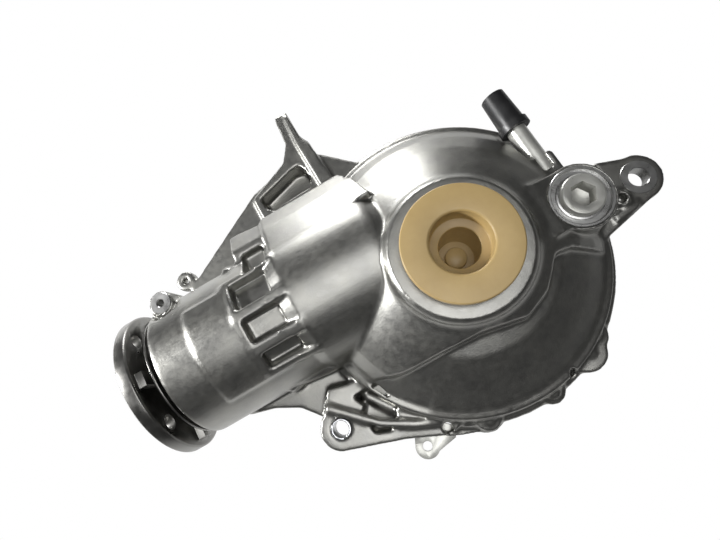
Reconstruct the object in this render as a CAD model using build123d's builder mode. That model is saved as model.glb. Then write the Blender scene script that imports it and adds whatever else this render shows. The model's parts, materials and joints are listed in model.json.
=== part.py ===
from build123d import *
import math
import os

# Front differential with a hypoid gear pair, lying on its rear cover.
# Millimetres, +Z up along the output axis, base face of the rear cover at z = 0.
# The nose points along -X, the breather and the prong point along +Y.

os.makedirs("parts", exist_ok=True)

# Fits and clearances
run_gap = 0.05
press_gap = 0.02
free_gap = 0.3
wall = 5.5

# Heights along the output axis
joint_z = 38.0
rim_z = 92.0
rim_step = 10.0
rim_low_depth = 8.0
collar_top_z = 143.0
rim_mid_z = rim_z - rim_step
rim_low_z = rim_mid_z - rim_low_depth

# Radii of the bell and the pot about the output axis
bell_r = 98.5
rim_mid_r = 104.0
rim_low_r = 109.5
cavity_r = 90.0
pot_r = cavity_r + wall
joint_flange_r = 107.0
joint_flange_up = 10.0
joint_flange_down = 9.0
collar_r = 45.5
collar_edge = 3.0
dip_start = -136.0
dip_end = -27.0

# Pinion axis and nose
pin_y = 30.0
pin_z = 87.4
nose_end_x = -200.0
nose_r = 48.5
bulge_r = 52.0
bulge_x = -112.0
bulge_end_x = -24.0
bulge_round = 20.0
bulge_wall = 6.0
rib_height = 3.5
rib_width = 6.0

# Output bearings, one size on both sides
out_bore_r = 22.5
out_cup_r = 37.5
out_width = 17.0
out_boss_r = out_cup_r + 6.5
right_bearing_z = 11.5
left_bearing_z = 113.0
left_shoulder_z = left_bearing_z + out_width
shoulder_step = 7.5
shoulder_width = 1.5

# Output seals and the pilot for the axle tube
seal_r = 32.0
seal_width = 7.0
seal_lip_gap = 0.4
stub_r = 19.0
pilot_r = 34.0
pilot_depth = 4.0

# Pinion bearings
head_bore_r = 17.5
head_cup_r = 40.0
head_width = 20.0
head_x = -90.0
tail_bore_r = 15.0
tail_cup_r = 36.0
tail_width = 18.0
tail_x = -155.0
shim_width = 1.5
nose_bore_r = 31.0
input_seal_r = 38.0
input_seal_width = 11.0
input_seal_x = -187.0

# Input flange
hub_r = 21.0
flange_r = 51.8
flange_width = 9.0
flange_back_x = -213.0
flange_hole_circle_r = 42.0
flange_hole_r = 5.25
flange_hole_count = 4
flange_recess_r = 20.5
flange_flare = 7.0
flange_rib_width = 10.0
flange_rib_height = 5.0
shield_x = -204.5
shield_r = 45.0
shield_thick = 1.5
spline_r = 13.5
nut_across = 32.0
nut_width = 9.0
nut_back_x = -210.0
thread_r = 12.0
shaft_end_x = -221.0

# Hypoid pair
ring_teeth = 37
pinion_teeth = 11
ring_angle = 70.0
pinion_angle = 18.5
ring_apex_z = 84.2
pinion_apex_x = 21.6
ring_mean = 73.43
pinion_mean = 90.2
ring_spiral = 26.5
pinion_spiral = 50.0
flank_angle = 20.0
ring_addendum = 1.8
ring_dedendum = 4.8
pinion_addendum = 4.2
pinion_dedendum = 2.4
ring_tooth = 4.0
pinion_tooth = 4.9
mesh_angle = 157.8
pinion_mesh_angle = -97.85
ring_r = 84.5
ring_inner_r = 52.0
ring_tooth_start = 61.0
ring_tooth_end = 87.5
ring_back_z = 37.0
pinion_tooth_start = 78.0
pinion_tooth_end = 105.0
pinion_small_x = -50.0
neck_r = 24.0
root_sink = 1.2

# Differential case
centre_z = 76.0
case_r = 45.0
case_inner_r = 38.5
case_flange_r = 79.0
case_flange_width = 8.0
case_pilot_r = ring_inner_r - press_gap
case_pilot = 6.0
case_neck_r = 28.0
trunnion_bore_r = 16.0
ring_bolt_circle_r = 66.5
ring_bolt_count = 10
ring_bolt_r = 5.0
ring_bolt_head_r = 8.0
ring_bolt_head = 7.0
ring_bolt_reach = 7.5
window_r = 24.0
cross_pin_r = 8.0
roll_pin_r = 2.0
roll_pin_x = 41.2
roll_pin_top = 7.0
roll_pin_length = 22.0
cross_pin_end = 43.5

# Bevel gears in the case
side_teeth = 14
spider_teeth = 10
bevel_cone = 35.0
bevel_face = 12.0
bevel_pressure = 22.5
side_addendum = 2.6
side_dedendum = 4.6
spider_addendum = 3.9
spider_dedendum = 3.3
side_tooth = 5.3
spider_tooth = 6.9
side_back = 29.0
side_back_r = 27.0
side_hub_r = 19.5
side_hub_end = 38.0
side_bore_r = 14.5
washer_width = 1.0
spider_back_r = 37.0

# Transport plug in the upper output
plug_flange_r = 35.2
plug_flange_width = 5.5
plug_flange_z = 147.5
plug_recess_r = 18.2
plug_recess_depth = 14.0
plug_socket_r = 12.5
plug_socket_z = 107.0
plug_tip_r = 14.3
plug_tip_z = 103.0
plug_step_z = left_shoulder_z + 1.5
plug_nub_r = 7.0
plug_nub = 5.0

# Fill plug
fill_x = 82.0
fill_y = -8.0
fill_boss_r = 21.8
fill_boss_z = 126.0
fill_face_r = 17.7
fill_face_depth = 2.5
fill_collar_r = 13.4
fill_collar = 5.0
fill_thread_r = 11.0
fill_hex_across = 14.0
fill_hex_depth = 11.0
fill_depth = 20.0
fill_washer = 1.5

# Breather
breather_x = 83.0
breather_width = 22.0
breather_y = 32.0
breather_z = 105.0
breather_block_z = 112.0
breather_pipe_r = 6.8
breather_bore_r = 4.0
breather_press = 12.0
cap_start_y = 59.0
cap_end_y = 86.0
cap_base_r = 9.6
cap_tip_r = 8.5

# Fasteners of the rear cover
cover_bolt_r = 4.0
cover_head_r = 7.0
cover_head = 8.0
cover_bolt_reach = 18.0
shown_circle_r = 104.0
hidden_circle_r = 101.0
lobe_r = 9.0
lobe_z = 84.0
shown_angles = (-136.0, -109.0, -84.0, -64.5)
hidden_angles = (-28.0, 4.0, 36.0, 68.0, 100.0, 134.0, -164.0)
dowel_r = 4.0
dowel_reach = 7.0
dowel_angles = (-46.0, 118.0)

# Mounting ears
ear_right_x = 136.0
ear_right_y = -12.0
ear_right_r = 16.5
ear_right_bore_r = 6.5
ear_right_top = 94.0
ear_right_width = 11.0
ear_bottom_x = -124.0
ear_bottom_y = -58.0
ear_bottom_r = 15.0
ear_bottom_bore_r = 7.0
ear_bottom_top = 84.0
ear_bottom_width = 12.0
sleeve_wall = 1.4
sleeve_slot = 2.0
ear_left_x = -179.0
ear_left_y = 94.0
ear_left_r = 7.6
ear_left_bore_r = 2.4
plate_top = 83.0
plate_width = 9.0
web_top = 72.0
boss_x = -188.0
boss_y = 75.0
boss_r = 8.7
boss_top = 116.0
boss_relief_r = 12.5
boss_relief_depth = 3.0
boss_hole_r = 2.5
boss_hole_depth = 14.0

# Prong on the +Y side
prong_top = 86.0
prong_width = 14.0
prong_tip_y = 174.0

# Bracket tab
tab_width = 17.0
tab_thick = 2.0
tab_x = -79.0
tab_y = -97.0
tab_hole_r = 3.3
tab_screw_x = -68.0
tab_screw_y = -88.0
tab_screw_r = 3.0
tab_screw_head_r = 5.0
tab_screw_head = 4.0
tab_screw_reach = 10.0

# Base of the rear cover
base_r = 74.0
cover_floor_z = 10.0
cover_rib_width = 6.0
cover_rib_count = 8

pinion_axis = Axis((0, pin_y, pin_z), (1, 0, 0))
# Local x runs along the pinion axis and local y is the radius
pinion_profile = Plane(origin=(0, pin_y, pin_z), x_dir=(1, 0, 0), z_dir=(0, -1, 0))


def circle_point(radius, angle):
    return (radius * math.cos(math.radians(angle)), radius * math.sin(math.radians(angle)))


def across_pinion(x, facing=1):
    """Plane across the pinion axis at x, its normal along +X or -X."""
    return Plane(origin=(x, pin_y, pin_z), x_dir=(0, 1, 0), z_dir=(facing, 0, 0))


# Main housing: the casting with the bell, the pot, the nose and the ears
with BuildPart() as dip:
    with BuildSketch(Plane(origin=(0, 0, 0), x_dir=circle_point(1, dip_start) + (0,),
                           z_dir=circle_point(1, dip_start - 90) + (0,))):
        Polygon(
            (bell_r - 1.5, rim_z + 1.0),
            (bell_r - 14.0, rim_z + 10.0),
            (bell_r - 34.0, rim_z + 23.0),
            (collar_r + 5.0, rim_z + 27.0),
            (collar_r + 3.0, collar_top_z),
            (bell_r + 8.0, collar_top_z),
            (bell_r + 8.0, rim_z + 1.0),
        )
    revolve(axis=Axis.Z, revolution_arc=dip_end - dip_start)

# Oil space: the pot, the bell and the space around the pinion head
with BuildPart() as oil_space:
    with BuildSketch(Plane.XZ):
        Polygon(
            (0.0, joint_z - 1.0),
            (cavity_r, joint_z - 1.0),
            (cavity_r, rim_z - 6.0),
            (bell_r - 19.0, rim_z + 4.5),
            (bell_r - 36.0, rim_z + 15.5),
            (collar_r - 1.0, rim_z + 20.0),
            (0.0, rim_z + 20.0),
        )
    revolve(axis=Axis.Z)
    with BuildSketch(pinion_profile):
        Polygon(
            (head_x, 0.0),
            (head_x, -head_cup_r - 3.0),
            (-66.0, -bulge_r + bulge_wall),
            (pinion_small_x + 3.0, -bulge_r + bulge_wall + 14.0),
            (pinion_small_x + 3.0, 0.0),
        )
    revolve(axis=pinion_axis)

with BuildPart() as main_housing:
    with BuildSketch(Plane.XZ):
        with BuildLine():
            Polyline(
                (0.0, joint_z),
                (joint_flange_r, joint_z),
                (joint_flange_r, joint_z + joint_flange_up),
                (pot_r, joint_z + joint_flange_up + 3.0),
                (pot_r, rim_low_z - 10.0),
                (rim_low_r, rim_low_z),
                (rim_low_r, rim_mid_z - 1.5),
                (rim_low_r - 1.5, rim_mid_z),
                (rim_mid_r, rim_mid_z),
                (rim_mid_r, rim_z - 1.5),
                (rim_mid_r - 1.5, rim_z),
                (bell_r, rim_z),
                (bell_r - 3.0, rim_z + 6.0),
                (bell_r - 11.0, rim_z + 15.5),
                (bell_r - 24.0, rim_z + 26.0),
                (bell_r - 40.0, rim_z + 36.0),
                (collar_r + 3.0, collar_top_z - 9.5),
                (collar_r, collar_top_z - 6.0),
                (collar_r, collar_top_z - collar_edge),
            )
            Line((collar_r - collar_edge, collar_top_z), (0.0, collar_top_z))
            Line((0.0, collar_top_z), (0.0, joint_z))
            Line((collar_r, collar_top_z - collar_edge), (collar_r - collar_edge, collar_top_z))
        make_face()
    revolve(axis=Axis.Z)
    add(dip.part, mode=Mode.SUBTRACT)

    # Nose and bulge about the pinion axis
    with BuildSketch(pinion_profile):
        with BuildLine():
            Polyline(
                (bulge_end_x - 8.0, 0.0),
                (nose_end_x, 0.0),
                (nose_end_x, nose_r - 1.5),
                (nose_end_x + 1.5, nose_r),
                (bulge_x - 30.0, nose_r),
                (bulge_x, bulge_r),
                (bulge_end_x - bulge_round, bulge_r),
            )
            RadiusArc(
                (bulge_end_x - bulge_round, bulge_r),
                (bulge_end_x, bulge_r - bulge_round),
                bulge_round,
            )
            Line((bulge_end_x, bulge_r - bulge_round), (bulge_end_x - 8.0, 0.0))
        make_face()
    revolve(axis=pinion_axis)

    # Skirt from the rim line up to the nose
    with BuildSketch(Plane.YZ.offset(-130.0)):
        Polygon(
            (pin_y, rim_low_z),
            (100.0, rim_low_z),
            (100.0, rim_z),
            (97.0, rim_z + 9.0),
            (pin_y + 38.0, pin_z + 35.5),
            (pin_y, pin_z + 30.0),
        )
    extrude(amount=88.0)

    # Plate along the +Y side of the nose, with the small ear
    with BuildSketch(Plane.XY.offset(plate_top - plate_width)):
        Polygon(
            (-40.0, 60.0),
            (-18.0, 106.0),
            (-40.0, 129.0),
            (-69.0, 135.0),
            (-101.0, 128.0),
            (-118.0, 119.0),
            (-175.0, 88.0),
            (-190.0, 70.0),
            (-150.0, 40.0),
        )
        with Locations((ear_left_x, ear_left_y)):
            Circle(ear_left_r)
    extrude(amount=plate_width)

    # Prong: bar towards +Y with its side arm
    with BuildSketch(Plane.XY.offset(prong_top - prong_width)):
        Polygon(
            (-43.0, 90.0),
            (-43.0, 142.0),
            (-47.0, 150.0),
            (-47.0, prong_tip_y),
            (-58.0, prong_tip_y),
            (-60.0, 150.0),
            (-69.0, 137.0),
            (-103.0, 122.0),
            (-103.0, 100.0),
        )
    extrude(amount=prong_width)
    with BuildSketch(Plane.XY.offset(prong_top)):
        Polygon((-98.0, 120.0), (-60.0, 129.0), (-55.0, 113.0), (-93.0, 105.5))
    extrude(amount=-prong_width - 2.0, mode=Mode.SUBTRACT)

    # Web along the -Y side of the nose, running out to the lower ear
    with BuildSketch(Plane.XY.offset(web_top - plate_width)):
        Polygon(
            (-188.0, 10.0),
            (-182.0, -18.0),
            (-163.0, -23.0),
            (-146.0, -32.0),
            (-134.0, -46.0),
            (-124.0, -64.0),
            (-98.0, -62.0),
            (-82.0, -52.0),
            (-80.0, 10.0),
        )
    extrude(amount=plate_width)
    with BuildSketch(Plane.XY.offset(ear_bottom_top - ear_bottom_width)):
        with BuildLine():
            Polyline(
                (-137.0, -52.0),
                (-129.0, -72.0),
                (-88.0, -85.0),
                (-60.0, -97.0),
                (-40.0, -90.0),
                (-80.0, -40.0),
                (-120.0, -30.0),
                close=True,
            )
        make_face()
        with Locations((ear_bottom_x, ear_bottom_y)):
            Circle(ear_bottom_r)
    extrude(amount=ear_bottom_width)
    with BuildSketch(Plane.XY.offset(ear_bottom_top)):
        with Locations((-60.0, -92.5)):
            Circle(3.5)
    extrude(amount=-ear_bottom_width, mode=Mode.SUBTRACT)
    # The web between the ear and the pot is pocketed down to a floor
    with BuildSketch(Plane.XY.offset(ear_bottom_top)):
        Polygon((-108.0, -58.0), (-104.0, -72.0), (-88.0, -77.0), (-84.0, -58.0), (-96.0, -46.0))
    extrude(amount=-8.0, mode=Mode.SUBTRACT)

    # Right ear with its small dowel boss
    with BuildSketch(Plane.XY.offset(ear_right_top - ear_right_width)):
        Polygon(
            (80.0, 22.0),
            (107.0, 16.0),
            (ear_right_x, ear_right_y + ear_right_r),
            (ear_right_x + 8.0, ear_right_y - 14.5),
            (109.0, -34.0),
            (80.0, -40.0),
        )
        with Locations((ear_right_x, ear_right_y)):
            Circle(ear_right_r)
    extrude(amount=ear_right_width)
    with BuildSketch(Plane.XY.offset(ear_right_top)):
        with Locations((117.0, -19.0)):
            Circle(5.5)
    extrude(amount=4.0)

    # Fill plug boss, the web to the collar and the breather block
    with BuildSketch(Plane.XY.offset(rim_mid_z)):
        with Locations((fill_x, fill_y)):
            Circle(fill_boss_r)
    extrude(amount=fill_boss_z - rim_mid_z)
    with BuildSketch(Plane.XZ.offset(-14.0)):
        Polygon(
            (30.0, rim_z + 10.0),
            (30.0, collar_top_z - 9.0),
            (60.0, fill_boss_z + 3.0),
            (fill_x, fill_boss_z - 3.0),
            (fill_x, rim_z + 10.0),
        )
    extrude(amount=36.0)
    with BuildSketch(Plane.XY.offset(rim_mid_z)):
        with Locations((breather_x - 2.5, breather_y / 2)):
            RectangleRounded(breather_width, breather_y, 3.0)
    extrude(amount=breather_block_z - rim_mid_z)

    # Bolt lobes that show at the lower rim
    for angle in shown_angles:
        with BuildSketch(Plane.XY.offset(joint_z)):
            with Locations(circle_point(shown_circle_r, angle)):
                Circle(lobe_r)
        extrude(amount=lobe_z - joint_z)
    with BuildSketch(Plane.XY.offset(joint_z)):
        with Locations((44.0, -93.0)):
            Circle(14.0)
        with Locations((53.0, -86.0)):
            Circle(11.0)
    extrude(amount=lobe_z - joint_z)
    for angle in hidden_angles:
        with BuildSketch(Plane.XY.offset(joint_z)):
            with Locations(circle_point(hidden_circle_r, angle)):
                Circle(lobe_r - 1.0)
        extrude(amount=rim_low_z - joint_z - 2.0)

    # Tapped boss beside the nose end
    with BuildSketch(Plane.XY.offset(plate_top - plate_width)):
        with Locations((boss_x, boss_y)):
            Circle(boss_r)
    extrude(amount=boss_top - plate_top + plate_width)
    with BuildSketch(Plane.XY.offset(plate_top - plate_width)):
        Polygon(
            (boss_x - 7.0, boss_y),
            (boss_x + 8.0, boss_y),
            (boss_x + 8.0, pin_y + 20.0),
            (boss_x - 7.0, pin_y + 20.0),
        )
    extrude(amount=plate_width + 14.0)
    with BuildSketch(Plane.XY.offset(boss_top - boss_relief_depth)):
        with Locations((boss_x, boss_y)):
            Circle(boss_relief_r)
            Circle(boss_r, mode=Mode.SUBTRACT)
    extrude(amount=nose_r, mode=Mode.SUBTRACT)
    with BuildSketch(Plane.XY.offset(boss_top)):
        with Locations((boss_x, boss_y)):
            Circle(boss_relief_r)
    extrude(amount=nose_r, mode=Mode.SUBTRACT)

    # Stiffening ribs on top of the nose, turned about the pinion axis
    for angle, start_x, end_x in ((62, -148, -116), (90, -148, -108), (112, -147, -100), (134, -142, -112)):
        rib_plane = Plane(
            origin=(0, pin_y, pin_z),
            x_dir=(1, 0, 0),
            z_dir=(0, math.cos(math.radians(angle - 90)), math.sin(math.radians(angle - 90))),
        )
        with BuildSketch(rib_plane):
            Polygon(
                (start_x, -nose_r + 5.0),
                (start_x, -nose_r),
                (start_x + 8.0, -nose_r - rib_height),
                (end_x - 6.0, -bulge_r - 2.0),
                (end_x, -bulge_r + 1.0),
                (end_x, -nose_r + 5.0),
            )
        extrude(amount=rib_width / 2, both=True)
    with BuildSketch(pinion_profile):
        Polygon((-141.0, nose_r - 4.0), (-141.0, nose_r + 2.5), (-136.0, nose_r + 2.5), (-136.0, nose_r - 4.0))
    revolve(axis=pinion_axis)

    # Relief for the breather pipe and its cap, and the flat joint face below the nose
    with BuildSketch(Plane.XZ.offset(-breather_y)):
        with Locations((breather_x, breather_z)):
            Circle(breather_pipe_r + 2.0)
    extrude(amount=-(cap_start_y - breather_y), mode=Mode.SUBTRACT)
    with BuildSketch(Plane.XZ.offset(-cap_start_y + 5.0)):
        with Locations((breather_x, breather_z)):
            Circle(cap_base_r + 3.0)
    extrude(amount=-(cap_end_y - cap_start_y), mode=Mode.SUBTRACT)
    with BuildSketch(Plane.XY):
        Circle(shown_circle_r + lobe_r + 2.0)
    extrude(amount=joint_z, mode=Mode.SUBTRACT)

    add(oil_space.part, mode=Mode.SUBTRACT)

    # Seat of the left output bearing with its shoulder, seal bore above
    with BuildSketch(Plane.XZ):
        Polygon(
            (out_cup_r - 1.0, left_bearing_z - 1.0),
            (out_boss_r, left_bearing_z - 1.0),
            (out_boss_r, left_shoulder_z),
            (out_cup_r - 1.0, left_shoulder_z),
        )
    revolve(axis=Axis.Z)
    with BuildSketch(Plane.XZ):
        Polygon(
            (0.0, rim_z),
            (out_cup_r, rim_z),
            (out_cup_r, left_shoulder_z),
            (out_cup_r - shoulder_step, left_shoulder_z),
            (out_cup_r - shoulder_step, left_shoulder_z + shoulder_width),
            (seal_r, left_shoulder_z + shoulder_width),
            (seal_r, collar_top_z + 1.0),
            (0.0, collar_top_z + 1.0),
        )
    revolve(axis=Axis.Z, mode=Mode.SUBTRACT)

    # Bores of the nose: two bearing seats, the waist between them and the seal
    with BuildSketch(pinion_profile):
        Polygon(
            (head_x + 30.0, 0.0),
            (head_x + 30.0, -head_cup_r),
            (head_x - head_width, -head_cup_r),
            (head_x - head_width, -nose_bore_r),
            (tail_x, -nose_bore_r),
            (tail_x, -tail_cup_r),
            (input_seal_x + 1.0, -tail_cup_r),
            (input_seal_x + 1.0, -input_seal_r),
            (nose_end_x - 1.0, -input_seal_r),
            (nose_end_x - 1.0, 0.0),
        )
    revolve(axis=pinion_axis, mode=Mode.SUBTRACT)

    # Fill plug seat and thread, breather bore
    with Locations((fill_x, fill_y, fill_boss_z)):
        CounterBoreHole(fill_thread_r + press_gap, fill_face_r, fill_face_depth, depth=36.0)
    with BuildSketch(Plane.XZ.offset(-breather_y)):
        with Locations((breather_x, breather_z)):
            Circle(breather_pipe_r + press_gap)
    extrude(amount=breather_press, mode=Mode.SUBTRACT)
    with BuildSketch(Plane.XZ.offset(-breather_y + breather_press)):
        with Locations((breather_x - 3.0, breather_z)):
            Circle(2.0)
    extrude(amount=8.0, mode=Mode.SUBTRACT)

    # Holes of the cover bolts and dowels, blind from the joint face
    for circle_r, angles in ((shown_circle_r, shown_angles), (hidden_circle_r, hidden_angles)):
        for angle in angles:
            with BuildSketch(Plane.XY.offset(joint_z)):
                with Locations(circle_point(circle_r, angle)):
                    Circle(cover_bolt_r + press_gap)
            extrude(amount=cover_bolt_reach + 3.0, mode=Mode.SUBTRACT)
    for angle in dowel_angles:
        with BuildSketch(Plane.XY.offset(joint_z)):
            with Locations(circle_point(hidden_circle_r, angle)):
                Circle(dowel_r + press_gap)
        extrude(amount=dowel_reach, mode=Mode.SUBTRACT)

    # Holes of the ears and bosses
    with Locations((ear_right_x, ear_right_y, ear_right_top)):
        Hole(ear_right_bore_r)
    with Locations((ear_bottom_x, ear_bottom_y, ear_bottom_top)):
        Hole(ear_bottom_bore_r)
    with Locations((ear_left_x, ear_left_y, plate_top)):
        Hole(ear_left_bore_r)
    with Locations((boss_x, boss_y, boss_top)):
        Hole(boss_hole_r, depth=boss_hole_depth)
    with Locations((117.0, -19.0, ear_right_top + 4.0)):
        Hole(3.0, depth=6.0)
    with BuildSketch(Plane.XY.offset(ear_bottom_top - ear_bottom_width)):
        with Locations((tab_screw_x, tab_screw_y)):
            Circle(tab_screw_r + press_gap)
    extrude(amount=tab_screw_reach, mode=Mode.SUBTRACT)
main_housing.part.label = "main_housing"
export_step(main_housing.part, "parts/main_housing.step")

# Rear cover: the dish that closes the pot and carries the right bearing
with BuildPart() as rear_cover:
    with BuildSketch(Plane.XZ):
        Polygon(
            (pilot_r, 0.0),
            (base_r, 0.0),
            (base_r + 6.0, 4.0),
            (pot_r - 4.0, joint_z - joint_flange_down - 8.0),
            (pot_r, joint_z - joint_flange_down),
            (joint_flange_r, joint_z - joint_flange_down),
            (joint_flange_r, joint_z),
            (cavity_r, joint_z),
            (cavity_r, joint_z - joint_flange_down - 2.0),
            (pot_r - 11.0, cover_floor_z + 9.0),
            (base_r - 6.0, cover_floor_z),
            (out_boss_r, cover_floor_z),
            (out_boss_r, right_bearing_z + out_width - 1.0),
            (out_cup_r, right_bearing_z + out_width - 1.0),
            (out_cup_r, right_bearing_z),
            (seal_r - 3.0, right_bearing_z),
            (seal_r - 3.0, pilot_depth + seal_width),
            (seal_r, pilot_depth + seal_width),
            (seal_r, pilot_depth),
            (pilot_r, pilot_depth),
        )
    revolve(axis=Axis.Z)
    # Bolt lobes under the joint face
    for circle_r, angles in ((shown_circle_r, shown_angles), (hidden_circle_r, hidden_angles)):
        for angle in angles:
            with BuildSketch(Plane.XY.offset(joint_z - joint_flange_down)):
                with Locations(circle_point(circle_r, angle)):
                    Circle(lobe_r)
            extrude(amount=joint_flange_down)
    # Stiffening ribs on the outside of the dish
    with PolarLocations(0, cover_rib_count, start_angle=22.5):
        with BuildSketch(Plane.XZ):
            Polygon(
                (base_r + 1.0, 0.0),
                (base_r + 8.0, 0.0),
                (pot_r, joint_z - joint_flange_down - 6.0),
                (pot_r, joint_z - joint_flange_down + 1.0),
                (pot_r - 5.0, joint_z - joint_flange_down - 6.0),
            )
        extrude(amount=cover_rib_width / 2, both=True)
    for circle_r, angles in ((shown_circle_r, shown_angles), (hidden_circle_r, hidden_angles)):
        for angle in angles:
            with BuildSketch(Plane.XY.offset(joint_z)):
                with Locations(circle_point(circle_r, angle)):
                    Circle(cover_bolt_r + free_gap)
            extrude(amount=-joint_flange_down, mode=Mode.SUBTRACT)
            with BuildSketch(Plane.XY.offset(joint_z - joint_flange_down)):
                with Locations(circle_point(circle_r, angle)):
                    Circle(cover_head_r + free_gap)
            extrude(amount=-joint_z, mode=Mode.SUBTRACT)
    for angle in dowel_angles:
        with BuildSketch(Plane.XY.offset(joint_z)):
            with Locations(circle_point(hidden_circle_r, angle)):
                Circle(dowel_r + press_gap)
        extrude(amount=-dowel_reach, mode=Mode.SUBTRACT)
rear_cover.part.label = "rear_cover"
export_step(rear_cover.part, "parts/rear_cover.step")

# Flange bolts of the rear cover, entered from below
with BuildPart() as cover_bolts:
    for circle_r, angles in ((shown_circle_r, shown_angles), (hidden_circle_r, hidden_angles)):
        for angle in angles:
            with BuildSketch(Plane.XY.offset(joint_z - joint_flange_down)):
                with Locations(circle_point(circle_r, angle)):
                    Circle(cover_head_r)
            extrude(amount=-1.5)
            with BuildSketch(Plane.XY.offset(joint_z - joint_flange_down - 1.5)):
                with Locations(circle_point(circle_r, angle)):
                    RegularPolygon(cover_head_r - 0.8, 6)
            extrude(amount=-cover_head + 1.5)
            with BuildSketch(Plane.XY.offset(joint_z - joint_flange_down)):
                with Locations(circle_point(circle_r, angle)):
                    Circle(cover_bolt_r)
            extrude(amount=joint_flange_down + cover_bolt_reach)
cover_bolts.part.label = "cover_bolts"
export_step(cover_bolts.part, "parts/cover_bolts.step")

with BuildPart() as dowel_pins:
    for angle in dowel_angles:
        with BuildSketch(Plane.XY.offset(joint_z)):
            with Locations(circle_point(hidden_circle_r, angle)):
                Circle(dowel_r)
        extrude(amount=dowel_reach - press_gap, both=True)
dowel_pins.part.label = "dowel_pins"
export_step(dowel_pins.part, "parts/dowel_pins.step")

# Spring sleeve pressed into the lower ear, slit along its length
with BuildPart() as dowel_sleeve:
    with BuildSketch(Plane.XY.offset(ear_bottom_top - ear_bottom_width)):
        with Locations((ear_bottom_x, ear_bottom_y)):
            Circle(ear_bottom_bore_r - press_gap)
            Circle(ear_bottom_bore_r - sleeve_wall, mode=Mode.SUBTRACT)
        with Locations((ear_bottom_x, ear_bottom_y - ear_bottom_bore_r)):
            Rectangle(sleeve_slot, 2 * sleeve_wall + 2.0, mode=Mode.SUBTRACT)
    extrude(amount=ear_bottom_width + 1.5)
dowel_sleeve.part.label = "dowel_sleeve"
export_step(dowel_sleeve.part, "parts/dowel_sleeve.step")

# Oil fill plug with a hexagon socket, and its sealing washer
fill_seat_z = fill_boss_z - fill_face_depth
with BuildPart() as fill_plug_washer:
    with BuildSketch(Plane.XY.offset(fill_seat_z)):
        with Locations((fill_x, fill_y)):
            Circle(fill_collar_r + 1.3)
            Circle(fill_thread_r, mode=Mode.SUBTRACT)
    extrude(amount=fill_washer)
fill_plug_washer.part.label = "fill_plug_washer"
export_step(fill_plug_washer.part, "parts/fill_plug_washer.step")

with BuildPart() as fill_plug:
    with BuildSketch(Plane.XY.offset(fill_seat_z + fill_washer)):
        with Locations((fill_x, fill_y)):
            Circle(fill_collar_r)
    extrude(amount=fill_collar)
    chamfer(fill_plug.edges().filter_by(GeomType.CIRCLE).sort_by(Axis.Z)[-1], 1.0)
    with BuildSketch(Plane.XY.offset(fill_seat_z + fill_washer)):
        with Locations((fill_x, fill_y)):
            Circle(fill_thread_r)
    extrude(amount=-fill_depth)
    with BuildSketch(Plane.XY.offset(fill_seat_z + fill_washer + fill_collar)):
        with Locations((fill_x, fill_y)):
            RegularPolygon(fill_hex_across / 2, 6, major_radius=False)
    extrude(amount=-fill_hex_depth, mode=Mode.SUBTRACT)
fill_plug.part.label = "fill_plug"
export_step(fill_plug.part, "parts/fill_plug.step")

# Breather: a steel pipe pressed into the block, with a rubber cap
with BuildPart() as breather_tube:
    with BuildSketch(Plane.XZ.offset(-breather_y + breather_press)):
        with Locations((breather_x, breather_z)):
            Circle(breather_pipe_r)
            Circle(breather_bore_r, mode=Mode.SUBTRACT)
    extrude(amount=-(cap_end_y - 8.0 - breather_y + breather_press))
breather_tube.part.label = "breather_tube"
export_step(breather_tube.part, "parts/breather_tube.step")

with BuildPart() as breather_cap:
    cap_base = Plane(origin=(breather_x, cap_start_y, breather_z), x_dir=(1, 0, 0), z_dir=(0, 1, 0))
    with BuildSketch(cap_base):
        Circle(cap_base_r)
    with BuildSketch(cap_base.offset(cap_end_y - cap_start_y)):
        Circle(cap_tip_r)
    loft()
    with BuildSketch(cap_base.offset(-2.5)):
        Circle(cap_base_r + 1.2)
    extrude(amount=5.0)
    with BuildSketch(cap_base.offset(-2.5)):
        Circle(breather_pipe_r + press_gap)
    extrude(amount=cap_end_y - 8.0 - cap_start_y + 2.5 + press_gap, mode=Mode.SUBTRACT)
breather_cap.part.label = "breather_cap"
export_step(breather_cap.part, "parts/breather_cap.step")

# Bracket tab of zinc-plated sheet under the web, held by one screw
tab_top = ear_bottom_top - ear_bottom_width
with BuildPart() as bracket_tab:
    with BuildSketch(Plane.XY.offset(tab_top - tab_thick)):
        with BuildLine():
            Polyline(
                (tab_x - 7.0, tab_y + 5.0),
                (tab_screw_x - 13.0, tab_screw_y + 5.5),
                (tab_screw_x - 5.0, tab_screw_y + 6.5),
                (tab_screw_x + 6.0, tab_screw_y - 0.5),
                (tab_screw_x + 13.0, tab_screw_y - 6.5),
                (tab_screw_x + 9.0, tab_screw_y - 13.0),
                (tab_x + 5.0, tab_y - 6.5),
                close=True,
            )
        make_face()
        with Locations((tab_x, tab_y)):
            Circle(tab_width / 2)
            Circle(tab_hole_r, mode=Mode.SUBTRACT)
        with Locations((tab_screw_x, tab_screw_y)):
            Circle(tab_screw_r + free_gap, mode=Mode.SUBTRACT)
    extrude(amount=tab_thick)
bracket_tab.part.label = "bracket_tab"
export_step(bracket_tab.part, "parts/bracket_tab.step")

with BuildPart() as bracket_screw:
    with BuildSketch(Plane.XY.offset(tab_top - tab_thick)):
        with Locations((tab_screw_x, tab_screw_y)):
            Circle(tab_screw_head_r)
    extrude(amount=-tab_screw_head)
    with BuildSketch(Plane.XY.offset(tab_top - tab_thick - tab_screw_head)):
        with Locations((tab_screw_x, tab_screw_y)):
            RegularPolygon(2.5, 6, major_radius=False)
    extrude(amount=2.5, mode=Mode.SUBTRACT)
    with BuildSketch(Plane.XY.offset(tab_top - tab_thick)):
        with Locations((tab_screw_x, tab_screw_y)):
            Circle(tab_screw_r)
    extrude(amount=tab_thick + tab_screw_reach - 2.0)
bracket_screw.part.label = "bracket_screw"
export_step(bracket_screw.part, "parts/bracket_screw.step")


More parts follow.
